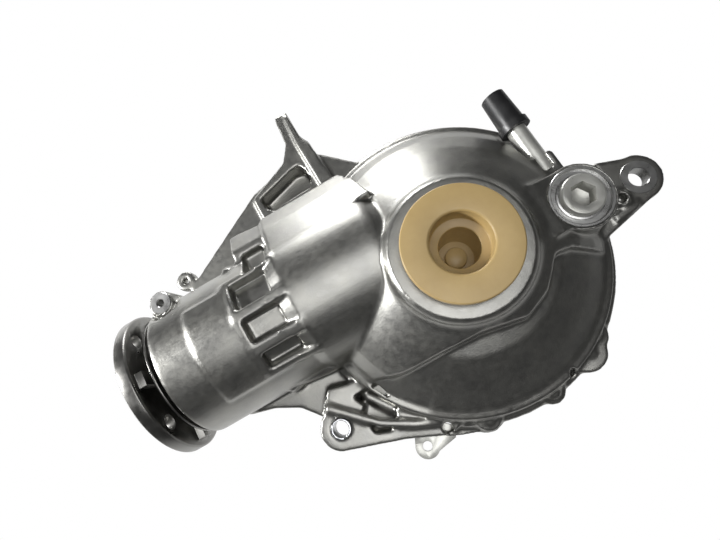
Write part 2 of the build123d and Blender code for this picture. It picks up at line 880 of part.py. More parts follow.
# Tapered roller bearings
# Each is drawn on its own axis, from the small end at 0 to the big end at its width
race_clear = 0.15
race_taper = 10.0
roller_count = 14
roller_share = 0.52


def cup_race(cup_r, position):
    """Radius of the cup's raceway at a distance from the small end."""
    return cup_r - 6.2 + position * math.tan(math.radians(race_taper + 3.0))


def cone_race(bore_r, cup_r, position):
    """Radius of the inner ring's raceway at a distance from the small end."""
    roller = (cup_race(cup_r, position) - bore_r) * roller_share
    return cup_race(cup_r, position) - roller


def bearing_cup(cup_r, width):
    with BuildPart() as cup:
        with BuildSketch(Plane.XZ):
            Polygon(
                (cup_race(cup_r, 0.0), 0.0),
                (cup_r - press_gap - 1.0, 0.0),
                (cup_r - press_gap, 1.0),
                (cup_r - press_gap, width - 2.0),
                (cup_race(cup_r, width - 2.0), width - 2.0),
            )
        revolve(axis=Axis.Z)
    return cup.part


def bearing_cone(bore_r, cup_r, width):
    with BuildPart() as cone:
        with BuildSketch(Plane.XZ):
            Polygon(
                (bore_r + press_gap, 0.6),
                (cone_race(bore_r, cup_r, 2.5) + 0.9, 0.6),
                (cone_race(bore_r, cup_r, 2.5) + 0.9, 2.4),
                (cone_race(bore_r, cup_r, 2.4), 2.4),
                (cone_race(bore_r, cup_r, width - 3.6), width - 3.6),
                (cone_race(bore_r, cup_r, width - 3.6) + 2.6, width - 4.2),
                (cone_race(bore_r, cup_r, width - 3.6) + 2.6, width),
                (bore_r + press_gap, width),
            )
        revolve(axis=Axis.Z)
    return cone.part


def bearing_rollers(bore_r, cup_r, width):
    start = 3.4
    end = width - 5.0
    small_r = (cup_race(cup_r, start) - cone_race(bore_r, cup_r, start)) / 2 - race_clear
    large_r = (cup_race(cup_r, end) - cone_race(bore_r, cup_r, end)) / 2 - race_clear
    first = Vector((cup_race(cup_r, start) + cone_race(bore_r, cup_r, start)) / 2, 0, start)
    last = Vector((cup_race(cup_r, end) + cone_race(bore_r, cup_r, end)) / 2, 0, end)
    along = last - first
    base = Plane(origin=first, x_dir=(0, 1, 0), z_dir=along)
    with BuildPart(mode=Mode.PRIVATE) as roller:
        with BuildSketch(base):
            Circle(small_r)
        with BuildSketch(base.offset(along.length)):
            Circle(large_r)
        loft()
    with BuildPart() as rollers:
        with PolarLocations(0, roller_count):
            add(roller.part)
    return rollers.part


right_seat = Plane(origin=(0, 0, right_bearing_z), x_dir=(1, 0, 0), z_dir=(0, 0, 1))
left_seat = Plane(origin=(0, 0, left_shoulder_z), x_dir=(1, 0, 0), z_dir=(0, 0, -1))
head_seat = across_pinion(head_x - head_width, 1)
tail_seat = across_pinion(tail_x, -1)
for name, seat, bore_r, cup_r, width in (
    ("carrier_bearing_right", right_seat, out_bore_r, out_cup_r, out_width),
    ("carrier_bearing_left", left_seat, out_bore_r, out_cup_r, out_width),
    ("pinion_bearing_head", head_seat, head_bore_r, head_cup_r, head_width),
    ("pinion_bearing_tail", tail_seat, tail_bore_r, tail_cup_r, tail_width),
):
    cup = bearing_cup(cup_r, width).moved(seat.location)
    cup.label = name + "_cup"
    export_step(cup, "parts/" + name + "_cup.step")
    cone = bearing_cone(bore_r, cup_r, width).moved(seat.location)
    cone.label = name + "_cone"
    export_step(cone, "parts/" + name + "_cone.step")
    rollers = bearing_rollers(bore_r, cup_r, width).moved(seat.location)
    rollers.label = name + "_rollers"
    export_step(rollers, "parts/" + name + "_rollers.step")


def lip_seal(outer_r, lip_r, width):
    """Radial shaft seal standing on z = 0, its lip towards the oil side above."""
    with BuildPart() as seal:
        with BuildSketch(Plane.XZ):
            Polygon(
                (outer_r - press_gap, 0.0),
                (outer_r - press_gap, width),
                (outer_r - 2.5, width),
                (outer_r - 2.5, 2.0),
                (lip_r + 3.5, 2.0),
                (lip_r + 2.0, width - 0.5),
                (lip_r + 0.8, width - 0.5),
                (lip_r, width - 2.5),
                (lip_r + 1.2, 0.8),
                (lip_r + 2.2, 0.0),
            )
        revolve(axis=Axis.Z)
    return seal.part


output_seal_left = lip_seal(seal_r, stub_r + seal_lip_gap, seal_width).moved(
    Plane(origin=(0, 0, left_shoulder_z + shoulder_width + seal_width), x_dir=(1, 0, 0), z_dir=(0, 0, -1)).location
)
output_seal_left.label = "output_seal_left"
export_step(output_seal_left, "parts/output_seal_left.step")

output_seal_right = lip_seal(seal_r, stub_r + seal_lip_gap, seal_width).moved(
    Plane.XY.offset(pilot_depth).location
)
output_seal_right.label = "output_seal_right"
export_step(output_seal_right, "parts/output_seal_right.step")

input_seal = lip_seal(input_seal_r, hub_r + seal_lip_gap, input_seal_width).moved(
    across_pinion(input_seal_x - input_seal_width, 1).location
)
input_seal.label = "input_seal"
export_step(input_seal, "parts/input_seal.step")

# Input flange: the splined hub, the disc with its bolt holes and the ribs behind it
with BuildPart() as input_flange:
    with BuildSketch(pinion_profile):
        Polygon(
            (tail_x - tail_width, spline_r + press_gap),
            (tail_x - tail_width, hub_r - 2.0),
            (tail_x - tail_width - 2.0, hub_r),
            (flange_back_x + flange_flare, hub_r),
            (flange_back_x, hub_r + flange_flare + 1.0),
            (flange_back_x, flange_r - 1.0),
            (flange_back_x - 1.0, flange_r),
            (flange_back_x - flange_width + 1.0, flange_r),
            (flange_back_x - flange_width, flange_r - 1.0),
            (flange_back_x - flange_width, flange_recess_r),
            (nut_back_x, flange_recess_r),
            (nut_back_x, spline_r + press_gap),
        )
    revolve(axis=pinion_axis)
    with BuildSketch(across_pinion(flange_back_x - 1.0)):
        with PolarLocations(0, flange_hole_count):
            with Locations(((hub_r + flange_r) / 2 - 2.0, 0)):
                Rectangle(flange_r - hub_r - 6.0, flange_rib_width)
    extrude(amount=flange_rib_height + 1.0)
    with BuildSketch(across_pinion(flange_back_x + 1.0, -1)):
        with PolarLocations(flange_hole_circle_r, flange_hole_count, start_angle=45.0):
            Circle(flange_hole_r)
    extrude(amount=flange_width + 2.0, mode=Mode.SUBTRACT)
input_flange.part.label = "input_flange"
export_step(input_flange.part, "parts/input_flange.step")

with BuildPart() as dust_shield:
    with BuildSketch(pinion_profile):
        Polygon(
            (shield_x, hub_r + press_gap),
            (shield_x, shield_r),
            (shield_x + shield_thick, shield_r),
            (shield_x + shield_thick, hub_r + shield_thick),
            (shield_x + shield_thick, hub_r + press_gap),
        )
    revolve(axis=pinion_axis)
dust_shield.part.label = "dust_shield"
export_step(dust_shield.part, "parts/dust_shield.step")

with BuildPart() as pinion_nut:
    with BuildSketch(across_pinion(nut_back_x, -1)):
        RegularPolygon(nut_across / 2, 6, major_radius=False)
        Circle(thread_r + press_gap, mode=Mode.SUBTRACT)
    extrude(amount=nut_width)
pinion_nut.part.label = "pinion_nut"
export_step(pinion_nut.part, "parts/pinion_nut.step")

with BuildPart() as pinion_shim:
    with BuildSketch(across_pinion(head_x + shim_width, -1)):
        Circle(neck_r - 1.0)
        Circle(head_bore_r + press_gap, mode=Mode.SUBTRACT)
    extrude(amount=shim_width)
pinion_shim.part.label = "pinion_shim"
export_step(pinion_shim.part, "parts/pinion_shim.step")

# Crush sleeve between the two inner rings, bulged in the middle
with BuildPart() as crush_sleeve:
    sleeve_start = head_x - head_width + 0.6
    sleeve_end = tail_x - 0.6
    sleeve_middle = (sleeve_start + sleeve_end) / 2
    with BuildSketch(pinion_profile):
        Polygon(
            (sleeve_start, head_bore_r + free_gap),
            (sleeve_start, head_bore_r + 3.0),
            (sleeve_middle + 6.0, head_bore_r + 3.0),
            (sleeve_middle, head_bore_r + 6.0),
            (sleeve_middle - 6.0, head_bore_r + 3.0),
            (sleeve_end, head_bore_r + 3.0),
            (sleeve_end, head_bore_r + free_gap),
            (sleeve_middle - 6.0, head_bore_r + free_gap),
            (sleeve_middle, head_bore_r + 3.0),
            (sleeve_middle + 6.0, head_bore_r + free_gap),
        )
    revolve(axis=pinion_axis)
crush_sleeve.part.label = "crush_sleeve"
export_step(crush_sleeve.part, "parts/crush_sleeve.step")


# Hypoid teeth: four-cornered sections across the pitch cone, swept along a spiral
def spiral_tooth(sections, apex, frame, mean, thickness, addendum, dedendum, spiral):
    """Ruled tooth through sections at growing distance from the apex of its pitch cone."""
    with BuildPart(mode=Mode.PRIVATE) as tooth:
        for distance, angle in sections:
            along, normal = frame(angle)
            width = math.cos(math.radians(spiral))
            slope = math.tan(math.radians(flank_angle))
            size = distance / mean
            corners = []
            for height in (-dedendum - root_sink, addendum):
                half = (thickness / 2 - height * slope) / width
                corners.append((half * size, height * size))
            plane = Plane(
                origin=apex + along * distance,
                x_dir=normal.cross(along),
                z_dir=along,
            )
            with BuildSketch(plane):
                Polygon(
                    (corners[0][0], corners[0][1]),
                    (corners[1][0], corners[1][1]),
                    (-corners[1][0], corners[1][1]),
                    (-corners[0][0], corners[0][1]),
                )
        loft(ruled=True)
    return tooth.part


def ring_frame(angle):
    cone = math.radians(ring_angle)
    turn = math.radians(angle)
    along = Vector(math.sin(cone) * math.cos(turn), math.sin(cone) * math.sin(turn), -math.cos(cone))
    normal = Vector(math.cos(cone) * math.cos(turn), math.cos(cone) * math.sin(turn), math.sin(cone))
    return along, normal


def pinion_frame(angle):
    cone = math.radians(pinion_angle)
    turn = math.radians(angle)
    along = Vector(-math.cos(cone), math.sin(cone) * math.cos(turn), math.sin(cone) * math.sin(turn))
    normal = Vector(math.sin(cone), math.cos(cone) * math.cos(turn), math.cos(cone) * math.sin(turn))
    return along, normal


def spiral_sections(start, end, count, mean, cone, spiral, sign, middle):
    """Distances from the apex and the turn of the tooth's middle line there."""
    rate = math.degrees(math.tan(math.radians(spiral)) / math.sin(math.radians(cone)))
    sections = []
    for index in range(count):
        distance = start + (end - start) * index / (count - 1)
        sections.append((distance, middle + sign * rate * math.log(distance / mean)))
    return sections


def cone_point(axial_apex, sign, cone, distance, height):
    """Axial place and radius of a point at a height over a pitch cone."""
    slope = math.radians(cone)
    axial = axial_apex + sign * (distance * math.cos(slope) - height * math.sin(slope))
    radius = distance * math.sin(slope) + height * math.cos(slope)
    return axial, radius


# Ring gear
ring_root = -ring_dedendum / ring_mean
z_in, r_in = cone_point(ring_apex_z, -1, ring_angle, ring_tooth_start, ring_root * ring_tooth_start)
z_out, r_out = cone_point(ring_apex_z, -1, ring_angle, ring_tooth_end, ring_root * ring_tooth_end)
with BuildPart() as ring_gear:
    with BuildSketch(Plane.XZ):
        Polygon(
            (ring_inner_r, ring_back_z),
            (ring_r - 2.0, ring_back_z),
            (ring_r, ring_back_z + 2.0),
            (ring_r, z_out),
            (r_out, z_out),
            (r_in, z_in),
            (ring_inner_r, z_in - 1.5),
        )
    revolve(axis=Axis.Z)
    ring_tooth_solid = spiral_tooth(
        spiral_sections(
            ring_tooth_start, ring_tooth_end, 5, ring_mean, ring_angle, ring_spiral, -1, mesh_angle
        ),
        Vector(0, 0, ring_apex_z),
        ring_frame,
        ring_mean,
        ring_tooth,
        ring_addendum,
        ring_dedendum,
        ring_spiral,
    )
    with PolarLocations(0, ring_teeth):
        add(ring_tooth_solid)
    with BuildSketch(Plane.XY.offset(ring_back_z)):
        with PolarLocations(ring_bolt_circle_r, ring_bolt_count):
            Circle(ring_bolt_r + press_gap)
    extrude(amount=ring_bolt_reach + 1.0, mode=Mode.SUBTRACT)
ring_gear.part.label = "ring_gear"
export_step(ring_gear.part, "parts/ring_gear.step")

# Pinion shaft: head with its teeth, stepped shaft, splines and thread
pinion_root = -pinion_dedendum / pinion_mean
pinion_start_x, pinion_start_r = cone_point(
    pinion_apex_x, -1, pinion_angle, pinion_tooth_start, pinion_root * pinion_tooth_start
)
pinion_stop_x, pinion_stop_r = cone_point(
    pinion_apex_x, -1, pinion_angle, pinion_tooth_end, pinion_root * pinion_tooth_end
)
with BuildPart() as pinion_shaft:
    with BuildSketch(pinion_profile):
        Polygon(
            (pinion_start_x + 1.0, 0.0),
            (pinion_start_x + 1.0, pinion_start_r - 2.0),
            (pinion_start_x, pinion_start_r),
            (pinion_stop_x, pinion_stop_r),
            (pinion_stop_x - 1.0, pinion_stop_r - 1.0),
            (pinion_stop_x - 1.0, neck_r),
            (head_x + shim_width, neck_r),
            (head_x + shim_width, head_bore_r),
            (sleeve_middle, head_bore_r),
            (sleeve_middle, tail_bore_r),
            (tail_x - tail_width, tail_bore_r),
            (tail_x - tail_width, spline_r),
            (nut_back_x, spline_r),
            (nut_back_x, thread_r),
            (shaft_end_x + 1.5, thread_r),
            (shaft_end_x, thread_r - 1.5),
            (shaft_end_x, 0.0),
        )
    revolve(axis=pinion_axis)
    pinion_tooth_solid = spiral_tooth(
        spiral_sections(
            pinion_tooth_start,
            pinion_tooth_end,
            9,
            pinion_mean,
            pinion_angle,
            pinion_spiral,
            1,
            pinion_mesh_angle + 180.0 / pinion_teeth,
        ),
        Vector(pinion_apex_x, pin_y, pin_z),
        pinion_frame,
        pinion_mean,
        pinion_tooth,
        pinion_addendum,
        pinion_dedendum,
        pinion_spiral,
    )
    for index in range(pinion_teeth):
        add(pinion_tooth_solid.rotate(pinion_axis, 360.0 * index / pinion_teeth))
pinion_shaft.part.label = "pinion_shaft"
export_step(pinion_shaft.part, "parts/pinion_shaft.step")

# Differential case: flange, ball with two windows, trunnions
case_flange_z = ring_back_z - case_flange_width
with BuildPart() as differential_case:
    with BuildSketch(Plane.XZ):
        Polygon(
            (0.0, right_bearing_z - 0.5),
            (out_bore_r, right_bearing_z - 0.5),
            (out_bore_r, right_bearing_z + out_width),
            (case_neck_r, right_bearing_z + out_width),
            (case_neck_r, case_flange_z),
            (case_flange_r, case_flange_z),
            (case_flange_r, ring_back_z),
            (case_pilot_r, ring_back_z),
            (case_pilot_r, ring_back_z + case_pilot),
            (case_neck_r, ring_back_z + case_pilot + 8.0),
            (case_neck_r, left_bearing_z),
            (out_bore_r, left_bearing_z),
            (out_bore_r, left_shoulder_z + 0.5),
            (0.0, left_shoulder_z + 0.5),
        )
    revolve(axis=Axis.Z)
    with Locations((0, 0, centre_z)):
        Sphere(case_r)
    with BuildSketch(Plane.XY.offset(left_bearing_z)):
        Circle(case_r)
        Circle(out_bore_r, mode=Mode.SUBTRACT)
    extrude(amount=out_width, mode=Mode.SUBTRACT)
    with Locations((0, 0, centre_z)):
        Sphere(case_inner_r, mode=Mode.SUBTRACT)
    with BuildSketch(Plane.XY.offset(centre_z)):
        Circle(side_back_r + free_gap)
    extrude(amount=side_back + washer_width, both=True, mode=Mode.SUBTRACT)
    with BuildSketch(Plane.XY.offset(centre_z)):
        Circle(side_hub_r + run_gap)
    extrude(amount=side_hub_end + free_gap, both=True, mode=Mode.SUBTRACT)
    with BuildSketch(Plane.XY):
        Circle(trunnion_bore_r)
    extrude(amount=collar_top_z, mode=Mode.SUBTRACT)
    # Windows along Y, through which the gears go in
    with BuildSketch(Plane.XZ.offset(-case_r - 5.0)):
        with Locations((0, centre_z + 3.0)):
            Circle(window_r)
    extrude(amount=2 * case_r + 10.0, mode=Mode.SUBTRACT)
    with BuildSketch(Plane.YZ):
        with Locations((0, centre_z)):
            Circle(cross_pin_r + press_gap)
    extrude(amount=case_r + 5.0, both=True, mode=Mode.SUBTRACT)
    with BuildSketch(Plane.XY.offset(case_flange_z)):
        with PolarLocations(ring_bolt_circle_r, ring_bolt_count):
            Circle(ring_bolt_r + free_gap)
    extrude(amount=case_flange_width, mode=Mode.SUBTRACT)
    with BuildSketch(Plane.XY.offset(centre_z + roll_pin_top)):
        with Locations((roll_pin_x, 0)):
            Circle(roll_pin_r + press_gap)
    extrude(amount=-case_r, mode=Mode.SUBTRACT)
differential_case.part.label = "differential_case"
export_step(differential_case.part, "parts/differential_case.step")

# Bolts of the ring gear, their heads under the case flange
with BuildPart() as ring_gear_bolts:
    with BuildSketch(Plane.XY.offset(case_flange_z)):
        with PolarLocations(ring_bolt_circle_r, ring_bolt_count):
            RegularPolygon(ring_bolt_head_r, 6)
    extrude(amount=-ring_bolt_head)
    with BuildSketch(Plane.XY.offset(case_flange_z)):
        with PolarLocations(ring_bolt_circle_r, ring_bolt_count):
            Circle(ring_bolt_r)
    extrude(amount=case_flange_width + ring_bolt_reach)
ring_gear_bolts.part.label = "ring_gear_bolts"
export_step(ring_gear_bolts.part, "parts/ring_gear_bolts.step")

with BuildPart() as cross_pin:
    with BuildSketch(Plane.YZ):
        with Locations((0, centre_z)):
            Circle(cross_pin_r)
    extrude(amount=cross_pin_end, both=True)
    with BuildSketch(Plane.XY.offset(centre_z + roll_pin_top)):
        with Locations((roll_pin_x, 0)):
            Circle(roll_pin_r + press_gap)
    extrude(amount=-case_r, mode=Mode.SUBTRACT)
cross_pin.part.label = "cross_pin"
export_step(cross_pin.part, "parts/cross_pin.step")

with BuildPart() as roll_pin:
    with BuildSketch(Plane.XY.offset(centre_z + roll_pin_top - press_gap)):
        with Locations((roll_pin_x, 0)):
            Circle(roll_pin_r)
    extrude(amount=-roll_pin_length)
roll_pin.part.label = "roll_pin"
export_step(roll_pin.part, "parts/roll_pin.step")


# Straight bevel gears, drawn with the apex at the origin and the axis along +Z
def involute_outline(pitch_r, thickness, addendum, dedendum):
    """Right flank of a tooth on the back cone, as (across, height) from the pitch point."""
    pressure = math.radians(bevel_pressure)
    base_r_here = pitch_r * math.cos(pressure)
    root = pitch_r - dedendum
    tip = pitch_r + addendum
    start = max(root, base_r_here)
    half_pitch_turn = thickness / (2 * pitch_r) + math.tan(pressure) - pressure
    radii = [start + (tip - start) * step / 3 for step in range(4)]
    points = []
    for radius in radii:
        lean = math.acos(base_r_here / radius)
        turn = half_pitch_turn - (math.tan(lean) - lean)
        points.append((radius * math.sin(turn), radius * math.cos(turn) - pitch_r))
    points.insert(0, (points[0][0], -dedendum - root_sink))
    return points


def bevel_tooth(cone, thickness, addendum, dedendum):
    outline = involute_outline(bevel_cone * math.tan(math.radians(cone)), thickness, addendum, dedendum)
    slope = math.radians(cone)
    along = Vector(math.sin(slope), 0, math.cos(slope))
    normal = Vector(math.cos(slope), 0, -math.sin(slope))
    with BuildPart(mode=Mode.PRIVATE) as tooth:
        for distance in (bevel_cone - bevel_face, bevel_cone):
            size = distance / bevel_cone
            right = [(x * size, y * size) for x, y in outline]
            left = [(-x, y) for x, y in reversed(right)]
            with BuildSketch(Plane(origin=along * distance, x_dir=normal.cross(along), z_dir=along)):
                Polygon(*right, *left)
        loft(ruled=True)
    return tooth.part


bevel_slope = math.degrees(math.atan2(side_teeth, spider_teeth))


def bevel_root(cone, distance, dedendum):
    """Axial place and radius of the root cone at a distance from the apex."""
    return cone_point(0.0, 1, cone, distance, -dedendum * distance / bevel_cone)


def side_gear():
    inner_h, inner_r = bevel_root(bevel_slope, bevel_cone - bevel_face - 1.0, side_dedendum)
    outer_h, outer_r = bevel_root(bevel_slope, bevel_cone, side_dedendum)
    tooth = bevel_tooth(bevel_slope, side_tooth, side_addendum, side_dedendum)
    with BuildPart() as gear:
        with BuildSketch(Plane.XZ):
            Polygon(
                (side_bore_r, inner_h + 0.5),
                (inner_r, inner_h),
                (outer_r, outer_h),
                (side_back_r, outer_h + 1.5),
                (side_back_r, side_back),
                (side_hub_r, side_back),
                (side_hub_r, side_hub_end),
                (side_bore_r, side_hub_end),
            )
        revolve(axis=Axis.Z)
        with PolarLocations(0, side_teeth, start_angle=180.0 / side_teeth):
            add(tooth)
    return gear.part


def spider_gear():
    cone = 90.0 - bevel_slope
    inner_h, inner_r = bevel_root(cone, bevel_cone - bevel_face - 1.0, spider_dedendum)
    outer_h, outer_r = bevel_root(cone, bevel_cone, spider_dedendum)
    bore_r = cross_pin_r + run_gap
    tooth = bevel_tooth(cone, spider_tooth, spider_addendum, spider_dedendum)
    with BuildPart() as gear:
        with BuildSketch(Plane.XZ):
            with BuildLine():
                Polyline(
                    (bore_r, math.sqrt(spider_back_r**2 - bore_r**2)),
                    (bore_r, inner_h),
                    (inner_r, inner_h),
                    (outer_r, outer_h),
                    (outer_r, math.sqrt(spider_back_r**2 - outer_r**2)),
                )
                RadiusArc(
                    (outer_r, math.sqrt(spider_back_r**2 - outer_r**2)),
                    (bore_r, math.sqrt(spider_back_r**2 - bore_r**2)),
                    -spider_back_r,
                )
            make_face()
        revolve(axis=Axis.Z)
        with PolarLocations(0, spider_teeth):
            add(tooth)
    return gear.part


def side_washer():
    with BuildPart() as washer:
        with BuildSketch(Plane.XY.offset(side_back + washer_width - press_gap)):
            Circle(side_back_r)
            Circle(side_hub_r + free_gap, mode=Mode.SUBTRACT)
        extrude(amount=-washer_width + run_gap + press_gap)
    return washer.part


def spider_washer():
    with BuildPart() as washer:
        Sphere(case_inner_r - press_gap)
        Sphere(spider_back_r + run_gap, mode=Mode.SUBTRACT)
        with BuildSketch(Plane.XY):
            Circle(bevel_cone / 2)
            Circle(cross_pin_r + free_gap, mode=Mode.SUBTRACT)
        extrude(amount=case_r, mode=Mode.INTERSECT)
    return washer.part


side_left_place = Plane(origin=(0, 0, centre_z), x_dir=(1, 0, 0), z_dir=(0, 0, 1))
side_right_place = Plane(origin=(0, 0, centre_z), x_dir=(1, 0, 0), z_dir=(0, 0, -1))
spider_a_place = Plane(origin=(0, 0, centre_z), x_dir=(0, 0, 1), z_dir=(1, 0, 0))
spider_b_place = Plane(origin=(0, 0, centre_z), x_dir=(0, 0, 1), z_dir=(-1, 0, 0))
for name, shape, place in (
    ("side_gear_left", side_gear(), side_left_place),
    ("side_gear_right", side_gear(), side_right_place),
    ("side_washer_left", side_washer(), side_left_place),
    ("side_washer_right", side_washer(), side_right_place),
    ("spider_gear_a", spider_gear(), spider_a_place),
    ("spider_gear_b", spider_gear(), spider_b_place),
    ("spider_washer_a", spider_washer(), spider_a_place),
    ("spider_washer_b", spider_washer(), spider_b_place),
):
    placed = shape.moved(place.location)
    placed.label = name
    export_step(placed, "parts/" + name + ".step")

# Transport plug that closes the upper output, with its stepped recess
plug_top_z = plug_flange_z + plug_flange_width
plug_ledge_z = plug_top_z - plug_recess_depth
with BuildPart() as transport_plug:
    with BuildSketch(Plane.XZ):
        Polygon(
            (0.0, plug_tip_z),
            (plug_tip_r - 1.5, plug_tip_z),
            (plug_tip_r, plug_tip_z + 1.5),
            (plug_tip_r, plug_step_z),
            (stub_r, plug_step_z + 1.0),
            (stub_r, plug_ledge_z - 0.2),
            (plug_recess_r + 4.0, plug_ledge_z + 1.5),
            (plug_recess_r + 4.0, plug_flange_z),
            (plug_flange_r - 0.8, plug_flange_z),
            (plug_flange_r, plug_flange_z + 0.8),
            (plug_flange_r, plug_top_z - 0.8),
            (plug_flange_r - 0.8, plug_top_z),
            (plug_recess_r + 1.0, plug_top_z),
            (plug_recess_r, plug_top_z - 1.0),
            (plug_recess_r, plug_ledge_z),
            (plug_socket_r, plug_ledge_z),
            (plug_socket_r, plug_socket_z),
            (plug_nub_r, plug_socket_z),
            (plug_nub_r, plug_socket_z + plug_nub),
            (0.0, plug_socket_z + plug_nub),
        )
    revolve(axis=Axis.Z)
transport_plug.part.label = "transport_plug"
export_step(transport_plug.part, "parts/transport_plug.step")
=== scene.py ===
"""Front differential on a pale studio floor, seen from above the plugged output."""

from __future__ import annotations

import logging
import math
from dataclasses import dataclass, field
from enum import Enum
from typing import Sequence

import bmesh
import bpy
from mathutils import Matrix, Vector
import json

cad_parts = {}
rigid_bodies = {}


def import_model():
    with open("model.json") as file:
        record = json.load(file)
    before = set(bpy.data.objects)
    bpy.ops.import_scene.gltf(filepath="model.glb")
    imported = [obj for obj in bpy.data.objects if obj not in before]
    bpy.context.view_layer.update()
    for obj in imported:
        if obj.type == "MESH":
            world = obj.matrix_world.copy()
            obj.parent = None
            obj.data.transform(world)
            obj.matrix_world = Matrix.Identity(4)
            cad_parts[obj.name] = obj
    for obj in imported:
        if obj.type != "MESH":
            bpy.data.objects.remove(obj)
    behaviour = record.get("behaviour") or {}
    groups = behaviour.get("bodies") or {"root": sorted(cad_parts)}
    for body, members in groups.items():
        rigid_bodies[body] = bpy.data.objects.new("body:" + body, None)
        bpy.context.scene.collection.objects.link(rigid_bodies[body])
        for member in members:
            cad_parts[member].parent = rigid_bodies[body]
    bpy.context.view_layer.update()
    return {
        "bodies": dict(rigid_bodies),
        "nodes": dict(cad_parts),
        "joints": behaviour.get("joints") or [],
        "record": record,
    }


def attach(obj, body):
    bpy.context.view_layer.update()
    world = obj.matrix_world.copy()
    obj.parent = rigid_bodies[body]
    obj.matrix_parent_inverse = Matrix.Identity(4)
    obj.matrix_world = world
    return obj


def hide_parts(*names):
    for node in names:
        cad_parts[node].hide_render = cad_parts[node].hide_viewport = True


LOG = logging.getLogger("differential")
MM = 0.001


class Side(Enum):
    """Which way a lathe profile is spun."""

    OUTPUT = "output"
    PINION = "pinion"


@dataclass(frozen=True)
class Layout:
    """Place of the pinion axis, in metres."""

    pinion_y: float = 30.0 * MM
    pinion_z: float = 87.4 * MM


class Graph:
    """Small helper that builds one node material."""

    def __init__(self, name: str, colour: Sequence[float]) -> None:
        """Make the material with its shader.

        Args:
            name: Name of the material.
            colour: Red, green and blue of the base, in linear values.
        """
        self.material = bpy.data.materials.new(name)
        self.material.use_nodes = True
        self.tree = self.material.node_tree
        self.shader = self.tree.nodes["Principled BSDF"]
        self.material.diffuse_color = (*colour, 1.0)
        self.shader.inputs["Base Color"].default_value = (*colour, 1.0)
        self.coords = self.tree.nodes.new("ShaderNodeTexCoord").outputs["Object"]

    def noise(self, scale: float, detail: float = 4.0, rough: float = 0.55,
              stretch: tuple[float, float, float] = (1.0, 1.0, 1.0)) -> bpy.types.NodeSocket:
        """Add a noise texture on object coordinates.

        Args:
            scale: Cells per metre.
            detail: Number of octaves.
            rough: Share of the finer octaves.
            stretch: Scale along each axis.

        Returns:
            The factor socket of the noise.
        """
        mapping = self.tree.nodes.new("ShaderNodeMapping")
        mapping.inputs["Scale"].default_value = stretch
        self.tree.links.new(self.coords, mapping.inputs["Vector"])
        node = self.tree.nodes.new("ShaderNodeTexNoise")
        node.inputs["Scale"].default_value = scale
        node.inputs["Detail"].default_value = detail
        node.inputs["Roughness"].default_value = rough
        self.tree.links.new(mapping.outputs["Vector"], node.inputs["Vector"])
        return node.outputs["Fac"]

    def ramp(self, value: bpy.types.NodeSocket, low: float, high: float,
             first: Sequence[float], last: Sequence[float]) -> bpy.types.NodeSocket:
        """Map a value between two colours.

        Args:
            value: Socket that drives the ramp.
            low: Place of the first colour.
            high: Place of the last colour.
            first: First colour.
            last: Last colour.

        Returns:
            The colour socket of the ramp.
        """
        node = self.tree.nodes.new("ShaderNodeValToRGB")
        node.color_ramp.elements[0].position = low
        node.color_ramp.elements[1].position = high
        node.color_ramp.elements[0].color = (*first, 1.0)
        node.color_ramp.elements[1].color = (*last, 1.0)
        self.tree.links.new(value, node.inputs["Fac"])
        return node.outputs["Color"]

    def spread(self, value: bpy.types.NodeSocket, low: float, high: float) -> bpy.types.NodeSocket:
        """Map a value from 0.3 to 0.7 onto a range.

        Args:
            value: Socket to map.
            low: Result at 0.3.
            high: Result at 0.7.

        Returns:
            The mapped value.
        """
        node = self.tree.nodes.new("ShaderNodeMapRange")
        node.inputs["From Min"].default_value = 0.3
        node.inputs["From Max"].default_value = 0.7
        node.inputs["To Min"].default_value = low
        node.inputs["To Max"].default_value = high
        self.tree.links.new(value, node.inputs["Value"])
        return node.outputs["Result"]

    def bump(self, heights: Sequence[tuple[bpy.types.NodeSocket, float, float]]) -> None:
        """Chain bumps onto the shader.

        Args:
            heights: Sockets with their strength and distance in metres.
        """
        last = None
        for socket, strength, distance in heights:
            node = self.tree.nodes.new("ShaderNodeBump")
            node.inputs["Strength"].default_value = strength
            node.inputs["Distance"].default_value = distance
            self.tree.links.new(socket, node.inputs["Height"])
            if last is not None:
                self.tree.links.new(last, node.inputs["Normal"])
            last = node.outputs["Normal"]
        self.tree.links.new(last, self.shader.inputs["Normal"])

    def link(self, socket: bpy.types.NodeSocket, name: str) -> None:
        """Link a socket to a named input of the shader.

        Args:
            socket: Source socket.
            name: Name of the shader's input.
        """
        self.tree.links.new(socket, self.shader.inputs[name])


@dataclass(frozen=True)
class MetalFinish:
    """Finish of a metal: base colour, wear and grain."""

    name: str
    dark: tuple[float, float, float]
    light: tuple[float, float, float]
    metallic: float = 1.0
    rough_low: float = 0.3
    rough_high: float = 0.45
    cloud_scale: float = 18.0
    grain_scale: float = 900.0
    grain_strength: float = 0.25
    grain_depth: float = 0.00008
    wave_strength: float = 0.0
    stretch: tuple[float, float, float] = (1.0, 1.0, 1.0)

    def build(self) -> bpy.types.Material:
        """Build the node material.

        Returns:
            The material.
        """
        middle = tuple((a + b) / 2 for a, b in zip(self.dark, self.light))
        graph = Graph(self.name, middle)
        cloud = graph.noise(self.cloud_scale, 5.0, 0.6)
        graph.link(graph.ramp(cloud, 0.32, 0.68, self.dark, self.light), "Base Color")
        graph.shader.inputs["Metallic"].default_value = self.metallic
        patch = graph.noise(self.cloud_scale * 4.0, 6.0, 0.65, self.stretch)
        graph.link(graph.spread(patch, self.rough_low, self.rough_high), "Roughness")
        grain = graph.noise(self.grain_scale, 3.0, 0.6, self.stretch)
        heights = [(grain, self.grain_strength, self.grain_depth)]
        if self.wave_strength:
            wave = graph.noise(70.0, 3.0, 0.5)
            heights.append((wave, self.wave_strength, 0.0012))
        graph.bump(heights)
        return graph.material


